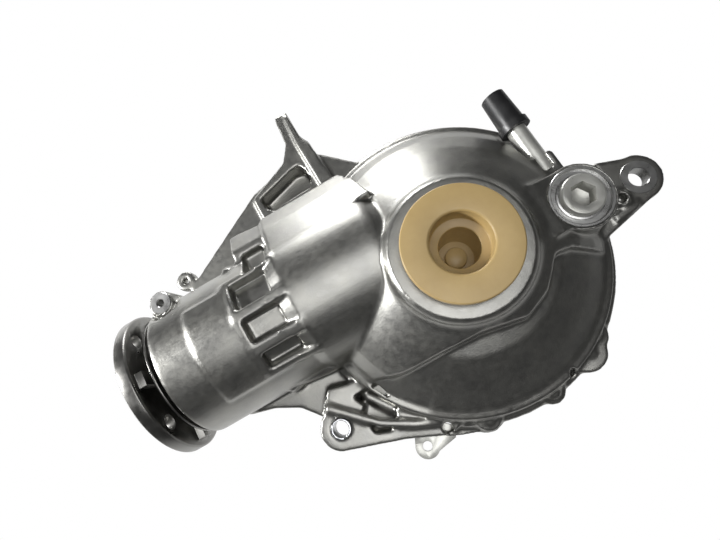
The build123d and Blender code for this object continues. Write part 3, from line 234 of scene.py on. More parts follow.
@dataclass(frozen=True)
class PolymerFinish:
    """Finish of a moulded plastic or a rubber."""

    name: str
    dark: tuple[float, float, float]
    light: tuple[float, float, float]
    rough_low: float = 0.35
    rough_high: float = 0.5
    grain_scale: float = 1500.0
    grain_depth: float = 0.00003
    specular: float = 0.5

    def build(self) -> bpy.types.Material:
        """Build the node material.

        Returns:
            The material.
        """
        middle = tuple((a + b) / 2 for a, b in zip(self.dark, self.light))
        graph = Graph(self.name, middle)
        cloud = graph.noise(35.0, 4.0, 0.6)
        graph.link(graph.ramp(cloud, 0.3, 0.7, self.dark, self.light), "Base Color")
        graph.shader.inputs["Specular IOR Level"].default_value = self.specular
        smear = graph.noise(120.0, 5.0, 0.6)
        graph.link(graph.spread(smear, self.rough_low, self.rough_high), "Roughness")
        grain = graph.noise(self.grain_scale, 2.0, 0.5)
        graph.bump([(grain, 0.3, self.grain_depth)])
        return graph.material


@dataclass
class Finishes:
    """Every finish of the object, built once."""

    cast: bpy.types.Material = field(init=False)
    machined: bpy.types.Material = field(init=False)
    dark_steel: bpy.types.Material = field(init=False)
    zinc: bpy.types.Material = field(init=False)
    gear: bpy.types.Material = field(init=False)
    bearing: bpy.types.Material = field(init=False)
    iron: bpy.types.Material = field(init=False)
    ochre: bpy.types.Material = field(init=False)
    rubber: bpy.types.Material = field(init=False)

    def __post_init__(self) -> None:
        """Build the materials."""
        self.cast = MetalFinish(
            "cast aluminium", (0.30, 0.298, 0.285), (0.38, 0.376, 0.350), 1.0, 0.33, 0.42,
            60.0, 800.0, 0.5, 0.00014, 0.03,
        ).build()
        self.machined = MetalFinish(
            "machined aluminium", (0.55, 0.55, 0.54), (0.70, 0.70, 0.69), 1.0, 0.24, 0.36,
            30.0, 1500.0, 0.12, 0.00003,
        ).build()
        self.dark_steel = MetalFinish(
            "oiled steel", (0.17, 0.168, 0.16), (0.32, 0.315, 0.30), 1.0, 0.26, 0.42,
            26.0, 1100.0, 0.2, 0.00005,
        ).build()
        self.zinc = MetalFinish(
            "bright zinc", (0.48, 0.48, 0.45), (0.66, 0.66, 0.62), 0.6, 0.26, 0.40,
            40.0, 1500.0, 0.12, 0.00003,
        ).build()
        self.gear = MetalFinish(
            "gear steel", (0.16, 0.16, 0.17), (0.28, 0.28, 0.29), 1.0, 0.22, 0.36,
        ).build()
        self.bearing = MetalFinish(
            "bearing steel", (0.48, 0.49, 0.51), (0.62, 0.63, 0.65), 1.0, 0.12, 0.22,
        ).build()
        self.iron = MetalFinish(
            "carrier iron", (0.06, 0.06, 0.065), (0.12, 0.12, 0.125), 1.0, 0.45, 0.6,
            20.0, 700.0, 0.5, 0.00015,
        ).build()
        self.ochre = PolymerFinish(
            "ochre plastic", (0.40, 0.28, 0.115), (0.47, 0.34, 0.15), 0.34, 0.46,
        ).build()
        self.rubber = PolymerFinish(
            "black rubber", (0.006, 0.006, 0.007), (0.016, 0.016, 0.017), 0.30, 0.5,
            1200.0, 0.00006, 0.6,
        ).build()

    def by_slot(self) -> dict[str, bpy.types.Material]:
        """Say which finish stands for each slot of the record.

        Returns:
            Materials by slot name.
        """
        return {
            "cast_aluminium": self.cast,
            "washer_aluminium": self.machined,
            "zinc_steel": self.zinc,
            "bearing_steel": self.bearing,
            "gear_steel": self.gear,
            "dark_steel": self.dark_steel,
            "cast_iron": self.iron,
            "black_rubber": self.rubber,
            "ochre_plastic": self.ochre,
        }


class Workshop:
    """Mesh helpers shared by the sub-assemblies."""

    @staticmethod
    def add(mesh: bpy.types.Mesh, name: str, material: bpy.types.Material) -> bpy.types.Object:
        """Put a mesh into the scene at the origin.

        Args:
            mesh: Mesh with its place in its vertices.
            name: Name of the object.
            material: Finish of every face.

        Returns:
            The new object.
        """
        mesh.name = name
        mesh.materials.clear()
        mesh.materials.append(material)
        piece = bpy.data.objects.new(name, mesh)
        bpy.context.scene.collection.objects.link(piece)
        return piece

    @staticmethod
    def merged_copy(node: bpy.types.Object) -> bpy.types.Mesh:
        """Copy a frame node's mesh with its loose triangles joined.

        Args:
            node: Object of the frame.

        Returns:
            The new mesh.
        """
        mesh = node.data.copy()
        mesh.transform(node.matrix_world)
        form = bmesh.new()
        form.from_mesh(mesh)
        bmesh.ops.remove_doubles(form, verts=form.verts, dist=0.00001)
        form.to_mesh(mesh)
        form.free()
        return mesh

    @staticmethod
    def applied(piece: bpy.types.Object) -> bpy.types.Mesh:
        """Evaluate an object's modifiers into a plain mesh.

        Args:
            piece: Object with modifiers.

        Returns:
            The evaluated mesh.
        """
        graph = bpy.context.evaluated_depsgraph_get()
        graph.update()
        return bpy.data.meshes.new_from_object(piece.evaluated_get(graph))

    @staticmethod
    def bake(piece: bpy.types.Object) -> bpy.types.Object:
        """Replace an object's mesh by its evaluated one and drop the modifiers.

        Args:
            piece: Object with modifiers.

        Returns:
            The same object.
        """
        mesh = Workshop.applied(piece)
        piece.modifiers.clear()
        piece.data = mesh
        return piece

    @staticmethod
    def smooth_by_angle(mesh: bpy.types.Mesh, degrees: float) -> None:
        """Shade a mesh smooth and mark its sharp edges.

        Args:
            mesh: Mesh to shade.
            degrees: Angle from which an edge is sharp.
        """
        form = bmesh.new()
        form.from_mesh(mesh)
        limit = math.radians(degrees)
        for edge in form.edges:
            edge.smooth = len(edge.link_faces) == 2 and edge.calc_face_angle(0.0) < limit
        for face in form.faces:
            face.smooth = True
        form.to_mesh(mesh)
        form.free()


@dataclass
class Lathe:
    """Turned shape about one of the two axes."""

    profile: Sequence[tuple[float, float]]
    side: Side = Side.OUTPUT
    centre: tuple[float, float] = (0.0, 0.0)
    steps: int = 160

    def mesh(self) -> bpy.types.Mesh:
        """Spin the closed profile of radius and height in millimetres.

        Returns:
            The closed mesh.
        """
        layout = Layout()
        form = bmesh.new()
        rings: list[list[bmesh.types.BMVert]] = []
        for radius, height in self.profile:
            count = 1 if radius <= 0.0 else self.steps
            ring = []
            for index in range(count):
                angle = 2 * math.pi * index / self.steps
                across = radius * MM * math.cos(angle)
                up = radius * MM * math.sin(angle)
                if self.side is Side.OUTPUT:
                    place = (self.centre[0] + across, self.centre[1] + up, height * MM)
                else:
                    place = (height * MM, layout.pinion_y + across, layout.pinion_z + up)
                ring.append(form.verts.new(place))
            rings.append(ring)
        for first, second in zip(rings, rings[1:] + rings[:1]):
            self.bridge(form, first, second)
        bmesh.ops.recalc_face_normals(form, faces=form.faces)
        mesh = bpy.data.meshes.new("lathe")
        form.to_mesh(mesh)
        form.free()
        return mesh

    def bridge(self, form: bmesh.types.BMesh, first: list, second: list) -> None:
        """Join two rings with faces.

        Args:
            form: Mesh under construction.
            first: One ring, or a single pole.
            second: Next ring, or a single pole.
        """
        if len(first) == 1 and len(second) == 1:
            return
        for index in range(self.steps):
            after = (index + 1) % self.steps
            if len(first) == 1:
                form.faces.new((first[0], second[after], second[index]))
            elif len(second) == 1:
                form.faces.new((first[index], first[after], second[0]))
            else:
                form.faces.new((first[index], first[after], second[after], second[index]))


class Operation(Enum):
    """What a form does to the casting."""

    ADD = "add"
    CLEAR = "clear"
    CUT = "cut"


@dataclass(frozen=True)
class Prism:
    """Upright form with a polygon outline, in millimetres."""

    outline: tuple[tuple[float, float], ...]
    low: float
    high: float
    operation: Operation = Operation.ADD

    def build(self, form: bmesh.types.BMesh) -> None:
        """Add the closed prism.

        Args:
            form: Mesh that receives it.
        """
        rings = [[form.verts.new((x * MM, y * MM, z * MM)) for x, y in self.outline]
                 for z in (self.low, self.high)]
        close_tube(form, rings)


@dataclass(frozen=True)
class Cone:
    """Upright round form whose radius may change on the way up."""

    centre: tuple[float, float]
    low: float
    high: float
    low_r: float
    high_r: float
    operation: Operation = Operation.ADD

    def build(self, form: bmesh.types.BMesh) -> None:
        """Add the closed cone.

        Args:
            form: Mesh that receives it.
        """
        rings = []
        for height, radius in ((self.low, self.low_r), (self.high, self.high_r)):
            rings.append([form.verts.new((
                (self.centre[0] + radius * math.cos(2 * math.pi * i / 48)) * MM,
                (self.centre[1] + radius * math.sin(2 * math.pi * i / 48)) * MM,
                height * MM)) for i in range(48)])
        close_tube(form, rings)


@dataclass(frozen=True)
class Capsule:
    """Round bar between two points."""

    start: tuple[float, float, float]
    end: tuple[float, float, float]
    radius: float
    operation: Operation = Operation.ADD

    def build(self, form: bmesh.types.BMesh) -> None:
        """Add the closed bar with its rounded ends.

        Args:
            form: Mesh that receives it.
        """
        first, last = Vector(self.start) * MM, Vector(self.end) * MM
        turn = (last - first).to_track_quat("Z", "Y")
        rings = []
        tip, narrow = 0.8, 0.5
        for place, along, share in (
            (first, -tip, narrow), (first, 0.0, 1.0), (last, 0.0, 1.0), (last, tip, narrow),
        ):
            radius = self.radius * MM
            rings.append([form.verts.new(place + turn @ Vector((
                radius * share * math.cos(2 * math.pi * i / 24),
                radius * share * math.sin(2 * math.pi * i / 24),
                radius * along))) for i in range(24)])
        close_tube(form, rings)


@dataclass(frozen=True)
class Sector:
    """Profile of axial place and radius, swept round the pinion axis between two angles."""

    profile: tuple[tuple[float, float], ...]
    first: float
    last: float
    operation: Operation = Operation.ADD

    def build(self, form: bmesh.types.BMesh) -> None:
        """Add the closed sector.

        Args:
            form: Mesh that receives it.
        """
        layout = Layout()
        steps = max(2, int((self.last - self.first) / 3.0))
        rings = []
        for index in range(steps + 1):
            angle = math.radians(self.first + (self.last - self.first) * index / steps)
            rings.append([form.verts.new((
                x * MM,
                layout.pinion_y + r * MM * math.cos(angle),
                layout.pinion_z + r * MM * math.sin(angle))) for x, r in self.profile])
        close_tube(form, rings)


@dataclass(frozen=True)
class Fin:
    """Flat rib that stands on the nose at an angle."""

    profile: tuple[tuple[float, float], ...]
    angle: float
    width: float
    operation: Operation = Operation.ADD

    def build(self, form: bmesh.types.BMesh) -> None:
        """Add the closed rib.

        Args:
            form: Mesh that receives it.
        """
        layout = Layout()
        angle = math.radians(self.angle)
        out = Vector((0.0, math.cos(angle), math.sin(angle)))
        across = Vector((0.0, -math.sin(angle), math.cos(angle)))
        centre = Vector((0.0, layout.pinion_y, layout.pinion_z))
        rings = []
        for side in (-0.5, 0.5):
            rings.append([form.verts.new(
                centre + Vector((x * MM, 0.0, 0.0)) + out * (r * MM)
                + across * (side * self.width * MM))
                for x, r in self.profile])
        close_tube(form, rings)


@dataclass(frozen=True)
class Sweep:
    """Cross-section in Y and Z that runs along X inside a plan outline."""

    section: tuple[tuple[float, float], ...]
    starts: tuple[float, ...]
    ends: tuple[float, ...]
    operation: Operation = Operation.ADD

    def build(self, form: bmesh.types.BMesh) -> None:
        """Add the closed body, each point of the section with its own ends.

        Args:
            form: Mesh that receives it.
        """
        rings = []
        for share in (0.0, 0.12, 0.5, 0.88, 1.0):
            ring = []
            for (y, z), start, end in zip(self.section, self.starts, self.ends):
                ring.append(form.verts.new(((start + (end - start) * share) * MM, y * MM, z * MM)))
            rings.append(ring)
        close_tube(form, rings)


@dataclass(frozen=True)
class BellPatch:
    """Piece of the bell's surface on one side of a line drawn across it in plan."""

    profile: tuple[tuple[float, float], ...]
    first: float
    last: float
    inner: float
    operation: Operation = Operation.ADD
    line: tuple[tuple[float, float], ...] = (
        (-96.0, -38.0), (-82.0, -42.0), (-66.0, -46.5), (-40.0, -47.0), (-14.0, -48.0), (14.0, -53.5),
        (32.0, -46.5), (48.0, -30.0), (84.0, -33.0),
    )
    outer: float = 99.5
    base: float = 100.0
    ceiling: float = 160.0
    foot: float = 2.5
    gap: float = 0.5
    samples: int = 9

    def build(self, form: bmesh.types.BMesh) -> None:
        """Add the closed patch, inside the line where it adds and outside where it takes away.

        Args:
            form: Mesh that receives it.
        """
        adds = self.operation is Operation.ADD
        steps = int((self.last - self.first) / 2.0)
        rings = []
        for index in range(steps + 1):
            angle = math.radians(self.first + (self.last - self.first) * index / steps)
            reach = self.reach(angle)
            near, far = self.inner, min(reach, self.outer)
            if not adds:
                near, far = far + self.gap, self.outer + 1
            radii = [near + (far - near) * share / self.samples for share in range(self.samples + 1)]
            ring = [(radius, self.height(radius)) for radius in radii]
            if adds:
                ring += [(far + self.foot, self.base), (near, self.base)]
            else:
                ring += [(far, self.ceiling), (near - 2.0, self.ceiling)]
            across, up = math.cos(angle), math.sin(angle)
            rings.append([form.verts.new((radius * across * MM, radius * up * MM, height * MM))
                          for radius, height in ring])
        close_tube(form, rings)

    def reach(self, angle: float) -> float:
        """Find how far out the line lies.

        Args:
            angle: Direction in plan, in radians.

        Returns:
            The radius in millimetres.
        """
        along = (math.cos(angle), math.sin(angle))
        for (ax, ay), (bx, by) in zip(self.line, self.line[1:]):
            dx, dy = bx - ax, by - ay
            cross = along[0] * dy - along[1] * dx
            if abs(cross) < 1e-9:
                continue
            radius = (ax * dy - ay * dx) / cross
            share = (ax * along[1] - ay * along[0]) / cross
            if radius > 0.0 and -1e-6 <= share <= 1.0 + 1e-6:
                return radius
        return self.outer

    def height(self, radius: float) -> float:
        """Read the profile.

        Args:
            radius: Radius in millimetres.

        Returns:
            The height there in millimetres.
        """
        for (ra, za), (rb, zb) in zip(self.profile, self.profile[1:]):
            if rb <= radius <= ra:
                return za + (zb - za) * (ra - radius) / (ra - rb)
        return self.profile[0][1] if radius > self.profile[0][0] else self.profile[-1][1]


def close_tube(form: bmesh.types.BMesh, rings: list[list[bmesh.types.BMVert]]) -> None:
    """Join equal rings into a closed body.

    Args:
        form: Mesh that holds the rings.
        rings: Rings of equal length, first to last.
    """
    count = len(rings[0])
    faces = [form.faces.new(rings[0][::-1]), form.faces.new(rings[-1])]
    for first, second in zip(rings, rings[1:]):
        for index in range(count):
            after = (index + 1) % count
            faces.append(form.faces.new((first[index], first[after], second[after], second[index])))
    bmesh.ops.recalc_face_normals(form, faces=faces)


def nose_rib(angle: float, width: float = 6.5) -> Fin:
    """Rib from the pad on the nose up to the bulge.

    Args:
        angle: Where it stands, from +Y towards +Z.
        width: Its thickness.

    Returns:
        The rib.
    """
    return Fin(
        ((-145.5, 42.0), (-145.5, 48.8), (-140.0, 50.6), (-121.0, 50.8), (-103.0, 53.0), (-103.0, 38.0),
         (-140.0, 38.0)),
        angle, width,
    )


def nose_pocket(first: float, last: float) -> Sector:
    """Pocket between two ribs of the nose.

    Args:
        first: Angle at which it starts, from +Y towards +Z.
        last: Angle at which it ends.

    Returns:
        The pocket's cutter.
    """
    return Sector(
        ((-136.5, 43.5), (-136.5, 60.0), (-113.5, 60.0), (-111.5, 43.5)), first, last, Operation.CUT,
    )


@dataclass(frozen=True)
class CastDetail:
    """Fine forms of the main casting that the plain solids leave out."""

    forms: tuple[object, ...] = (
        BellPatch(((98.5, 91.0), (84.5, 102.0), (64.5, 115.0), (50.5, 119.0)), -158.0, -130.0, 46.0,
                  Operation.CLEAR),
        BellPatch(((98.5, 92.0), (95.5, 98.0), (87.5, 107.5), (74.5, 118.0), (58.5, 128.0), (48.5, 133.5),
                   (45.5, 137.0)), -150.0, -21.5, 44.0),
        Sector(((-150.0, 48.5), (-150.0, 66.0), (-111.0, 66.0), (-111.0, 48.5)), 33.0, 172.0,
               Operation.CLEAR),
        Sector(((-111.5, 48.0), (-111.5, 66.0), (-103.0, 66.0), (-103.0, 52.0)), 33.0, 172.0,
               Operation.CLEAR),
        Prism(((-131.0, 71.0), (-131.0, 104.0), (-104.0, 104.0), (-104.0, 71.0)), 113.0, 140.0,
              Operation.CLEAR),
        Prism(((-131.0, 97.5), (-131.0, 104.0), (-103.0, 104.0), (-103.0, 94.0), (-124.0, 97.5)), 84.0, 140.0,
              Operation.CLEAR),
        Sweep(
            ((60.0, 96.0), (101.0, 84.0), (101.3, 93.0), (97.0, 103.0), (83.0, 115.0), (63.0, 128.0)),
            (-104.0, -103.0, -101.0, -104.0, -104.0, -104.0),
            (-26.0, -44.0, -44.0, -37.0, -29.0, -26.0),
        ),
        Sector(((-140.0, 44.0), (-140.0, 50.2), (-136.5, 50.2), (-136.5, 44.0)), 59.0, 139.0),
        Sector(((-172.0, 44.0), (-172.0, 48.6), (-171.0, 49.6), (-139.0, 49.6), (-139.0, 44.0)), 59.0, 141.0),
        nose_rib(87.0),
        nose_rib(114.5, 7.5),
        nose_rib(136.5, 6.0),
        nose_rib(56.0, 5.0),
        nose_pocket(59.5, 82.5),
        nose_pocket(91.5, 109.5),
        nose_pocket(119.5, 132.5),
        Prism(((-125.0, 57.5), (-125.0, 76.0), (-109.0, 76.0), (-107.0, 57.5)), 106.0, 140.0, Operation.CUT),
        Prism(((-40.0, 92.0), (-42.5, 127.0), (-43.5, 139.0), (-47.0, 146.0), (-47.5, 170.0), (-51.0, 170.0),
               (-53.0, 143.0), (-52.0, 92.0)), 80.0, 89.0),
        Prism(((-60.5, 145.0), (-72.0, 131.5), (-101.0, 123.5), (-101.0, 119.0), (-66.0, 128.0), (-58.0, 133.0)),
              66.0, 86.0),
        Prism(((-104.0, 90.0), (-104.0, 124.0), (-66.0, 133.0), (-46.0, 140.0), (-40.0, 100.0)), 66.0, 76.0),
        Prism(((-97.5, 119.5), (-66.0, 128.5), (-59.0, 127.0), (-56.5, 123.0), (-56.5, 111.0), (-60.0, 107.5),
               (-93.0, 106.5), (-97.5, 110.5)), 70.0, 92.0, Operation.CUT),
        Cone((82.0, -8.0), 88.0, 123.0, 25.0, 21.0),
        Cone((136.0, -12.0), 86.0, 94.0, 16.4, 16.4),
        Cone((117.0, -19.0), 90.0, 96.5, 6.4, 6.0),
        Prism(((106.0, -25.5), (126.0, -25.5), (123.5, -29.5), (106.0, -31.0)), 88.0, 96.0),
        Prism(((100.0, 20.0), (100.0, 0.0), (109.0, -16.0), (117.0, -9.0), (118.0, 14.0)), 91.5, 99.0,
              Operation.CUT),
        Capsule((-99.0, -47.0, 75.0), (-86.0, -64.5, 75.0), 4.2),
        Prism(((-128.0, -43.0), (-125.0, -39.0), (-97.0, -65.0), (-77.0, -76.5), (-60.0, -84.0), (-62.0, -88.0),
               (-79.0, -81.0), (-99.5, -69.5)), 78.0, 86.5),
        Prism(((-107.0, -43.5), (-102.0, -53.0), (-90.5, -63.5), (-81.0, -64.5), (-86.0, -43.0)), 67.0, 90.0,
              Operation.CLEAR),
        Capsule((10.9, -103.4, 68.0), (10.9, -103.4, 80.0), 8.6),
        Capsule((44.8, -93.5, 68.0), (44.8, -93.5, 78.0), 8.8),
        Capsule((-33.9, -98.3, 68.0), (-33.9, -98.3, 79.5), 8.0),
        Capsule((54.5, -86.0, 68.0), (54.5, -86.0, 78.5), 8.8),
        Cone((-19.0, -97.5), 66.0, 92.0, 3.4, 3.4, Operation.CUT),
        Cone((27.5, -99.0), 66.0, 92.0, 3.0, 3.0, Operation.CUT),
        Cone((-33.4, -95.0), 60.0, 77.0, 15.0, 14.0),
        Cone((-7.2, -97.0), 60.0, 77.0, 14.0, 13.0),
        Prism(((-66.0, -85.0), (-64.0, -97.0), (-55.0, -101.0), (-38.0, -106.5), (-38.0, -85.0)), 66.0, 77.0),
        Cone((-60.5, -91.5), 60.0, 92.0, 3.6, 3.6, Operation.CUT),
        Cone((82.0, -8.0), 98.0, 140.0, 19.7, 19.7, Operation.CUT),
        Cone((-188.0, 75.0), 103.0, 140.0, 7.4, 7.4, Operation.CUT),
        Cone((136.0, -12.0), 60.0, 120.0, 6.8, 6.8, Operation.CUT),
        Cone((117.0, -19.0), 91.0, 120.0, 3.0, 3.0, Operation.CUT),
    )

    def mesh(self, operation: Operation) -> bpy.types.Mesh:
        """Gather the forms of one kind.

        Args:
            operation: Kind of form.

        Returns:
            One mesh with a closed body for each form.
        """
        form = bmesh.new()
        for shape in self.forms:
            if shape.operation is operation:
                shape.build(form)
        mesh = bpy.data.meshes.new(operation.value)
        form.to_mesh(mesh)
        form.free()
        return mesh


@dataclass
class Castings:
    """Main housing and rear cover with the rounded edges of a casting."""

    finishes: Finishes
    voxel: float = 1.1 * MM
    cover_share: float = 1.2
    cutter_voxel: float = 0.7 * MM
    smooth_rounds: int = 4
    limit: int = 190000

    def dress(self, frame: dict) -> None:
        """Build both cast skins.

        Args:
            frame: The loaded frame.
        """
        detail = CastDetail()
        skins = (("main_housing", self.voxel, detail), ("rear_cover", self.voxel * self.cover_share, None))
        for node, voxel, extra in skins:
            skin = self.cast_skin(frame["nodes"][node], node + "_skin", voxel, extra)
            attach(skin, "housing")
            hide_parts(node)
            LOG.info("%s: %d faces", skin.name, len(skin.data.polygons))

    def remesh(self, piece: bpy.types.Object, voxel: float) -> None:
        """Rebuild a piece as one even skin.

        Args:
            piece: Piece to rebuild.
            voxel: Size of the grid.
        """
        grid = piece.modifiers.new("grid", "REMESH")
        grid.mode = "VOXEL"
        grid.voxel_size = voxel
        grid.use_smooth_shade = True
        Workshop.bake(piece)

    def carve(self, piece: bpy.types.Object, cutters: bpy.types.Mesh) -> None:
        """Fuse the cutters and take them out of a piece.

        Args:
            piece: Piece that is cut.
            cutters: Closed bodies to take away.
        """
        tool = bpy.data.objects.new("cutters", cutters)
        bpy.context.scene.collection.objects.link(tool)
        self.remesh(tool, self.cutter_voxel)
        difference = piece.modifiers.new("cut", "BOOLEAN")
        difference.operation = "DIFFERENCE"
        difference.solver = "MANIFOLD"
        difference.object = tool
        Workshop.bake(piece)
        bpy.data.objects.remove(tool)

    def cast_skin(self, node: bpy.types.Object, name: str, voxel: float,
                  detail: CastDetail | None) -> bpy.types.Object:
        """Round a node's edges as a casting's are.

        Args:
            node: Object of the frame.
            name: Name of the new piece.
            voxel: Size of the remeshing grid.
            detail: Fine forms to work in, if there are any.

        Returns:
            The rounded piece.
        """
        piece = Workshop.add(Workshop.merged_copy(node), name, self.finishes.cast)
        self.remesh(piece, voxel)
        if detail is not None:
            self.carve(piece, detail.mesh(Operation.CLEAR))
            form = bmesh.new()
            form.from_mesh(piece.data)
            form.from_mesh(detail.mesh(Operation.ADD))
            form.to_mesh(piece.data)
            form.free()
            self.remesh(piece, voxel)
            self.carve(piece, detail.mesh(Operation.CUT))
            self.remesh(piece, voxel)
        smooth = piece.modifiers.new("round", "SMOOTH")
        smooth.factor = 0.5
        smooth.iterations = self.smooth_rounds
        Workshop.bake(piece)
        faces = len(piece.data.polygons) * 2
        if faces > self.limit:
            thin = piece.modifiers.new("thin", "DECIMATE")
            thin.ratio = self.limit / faces
            Workshop.bake(piece)
        Workshop.smooth_by_angle(piece.data, 60.0)
        piece.data.materials.clear()
        piece.data.materials.append(self.finishes.cast)
        return piece


@dataclass
class Carried:
    """Frame nodes that keep their shape and get bevelled edges or a better finish."""

    finishes: Finishes
    bevelled: tuple[tuple[str, float], ...] = (
        ("input_flange", 0.6),
        ("dust_shield", 0.4),
        ("pinion_nut", 0.6),
        ("bracket_tab", 0.4),
        ("bracket_screw", 0.4),
        ("dowel_sleeve", 0.3),
        ("fill_plug", 0.4),
        ("fill_plug_washer", 0.3),
    )

    def dress(self, frame: dict) -> None:
        """Give every node its finish, and bevel the ones that show.

        Args:
            frame: The loaded frame.
        """
        slots = {part["node"]: part["material_slot"] for part in frame["record"]["subparts"]}
        finish = self.finishes.by_slot()
        bodies = {node: body for body, nodes in frame["record"]["behaviour"]["bodies"].items()
                  for node in nodes}
        for name, node in frame["nodes"].items():
            for index in range(len(node.material_slots)):
                node.material_slots[index].material = finish[slots[name]]
        for name, width in self.bevelled:
            node = frame["nodes"][name]
            piece = self.bevel(node, name + "_dressed", width * MM, finish[slots[name]])
            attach(piece, bodies[name])
            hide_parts(name)
            LOG.info("%s: %d faces", piece.name, len(piece.data.polygons))

    def bevel(self, node: bpy.types.Object, name: str, width: float,
              material: bpy.types.Material) -> bpy.types.Object:
        """Copy a node with its flat faces joined and its edges bevelled.

        Args:
            node: Object of the frame.
            name: Name of the new piece.
            width: Width of the bevel.
            material: Finish of the piece.

        Returns:
            The bevelled piece.
        """
        mesh = Workshop.merged_copy(node)
        form = bmesh.new()
        form.from_mesh(mesh)
        flat = math.radians(1.0)
        bmesh.ops.dissolve_limit(form, angle_limit=flat, verts=form.verts, edges=form.edges)
        form.to_mesh(mesh)
        form.free()
        piece = Workshop.add(mesh, name, material)
        edge = piece.modifiers.new("edge", "BEVEL")
        edge.width = width
        edge.segments = 2
        edge.limit_method = "ANGLE"
        edge.angle_limit = math.radians(40.0)
        edge.use_clamp_overlap = True
        Workshop.bake(piece)
        Workshop.smooth_by_angle(piece.data, 32.0)
        return piece


@dataclass
class MachinedFaces:
    """Bright turned faces on the bosses and ears of the main casting."""

    finishes: Finishes
    rings: tuple[tuple[str, tuple[float, float], tuple[tuple[float, float], ...]], ...] = (
        ("fill_boss_face", (82.0, -8.0), (
            (11.1, 97.0), (19.9, 97.0), (19.9, 125.5), (19.4, 126.0), (18.2, 126.0), (17.7, 125.5),
            (17.7, 123.5), (11.1, 123.5),
        )),
        ("ear_right_face", (136.0, -12.0), (
            (6.5, 84.0), (11.8, 84.0), (11.8, 94.0), (11.5, 94.3), (7.0, 94.3), (6.5, 93.8),
        )),
        ("nose_boss_face", (-188.0, 75.0), (
            (0.0, 102.0), (7.6, 102.0), (7.6, 115.5), (7.1, 116.0), (3.0, 116.0), (2.5, 115.5),
            (2.5, 103.0), (0.0, 103.0),
        )),
    )
    steps: int = 72

    def dress(self) -> None:
        """Turn each face and put it on the housing."""
        for name, centre, profile in self.rings:
            place = (centre[0] * MM, centre[1] * MM)
            face = Lathe(profile, Side.OUTPUT, place, self.steps).mesh()
            piece = Workshop.add(face, name, self.finishes.machined)
            Workshop.smooth_by_angle(piece.data, 40.0)
            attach(piece, "housing")
            LOG.info("%s: %d faces", piece.name, len(piece.data.polygons))


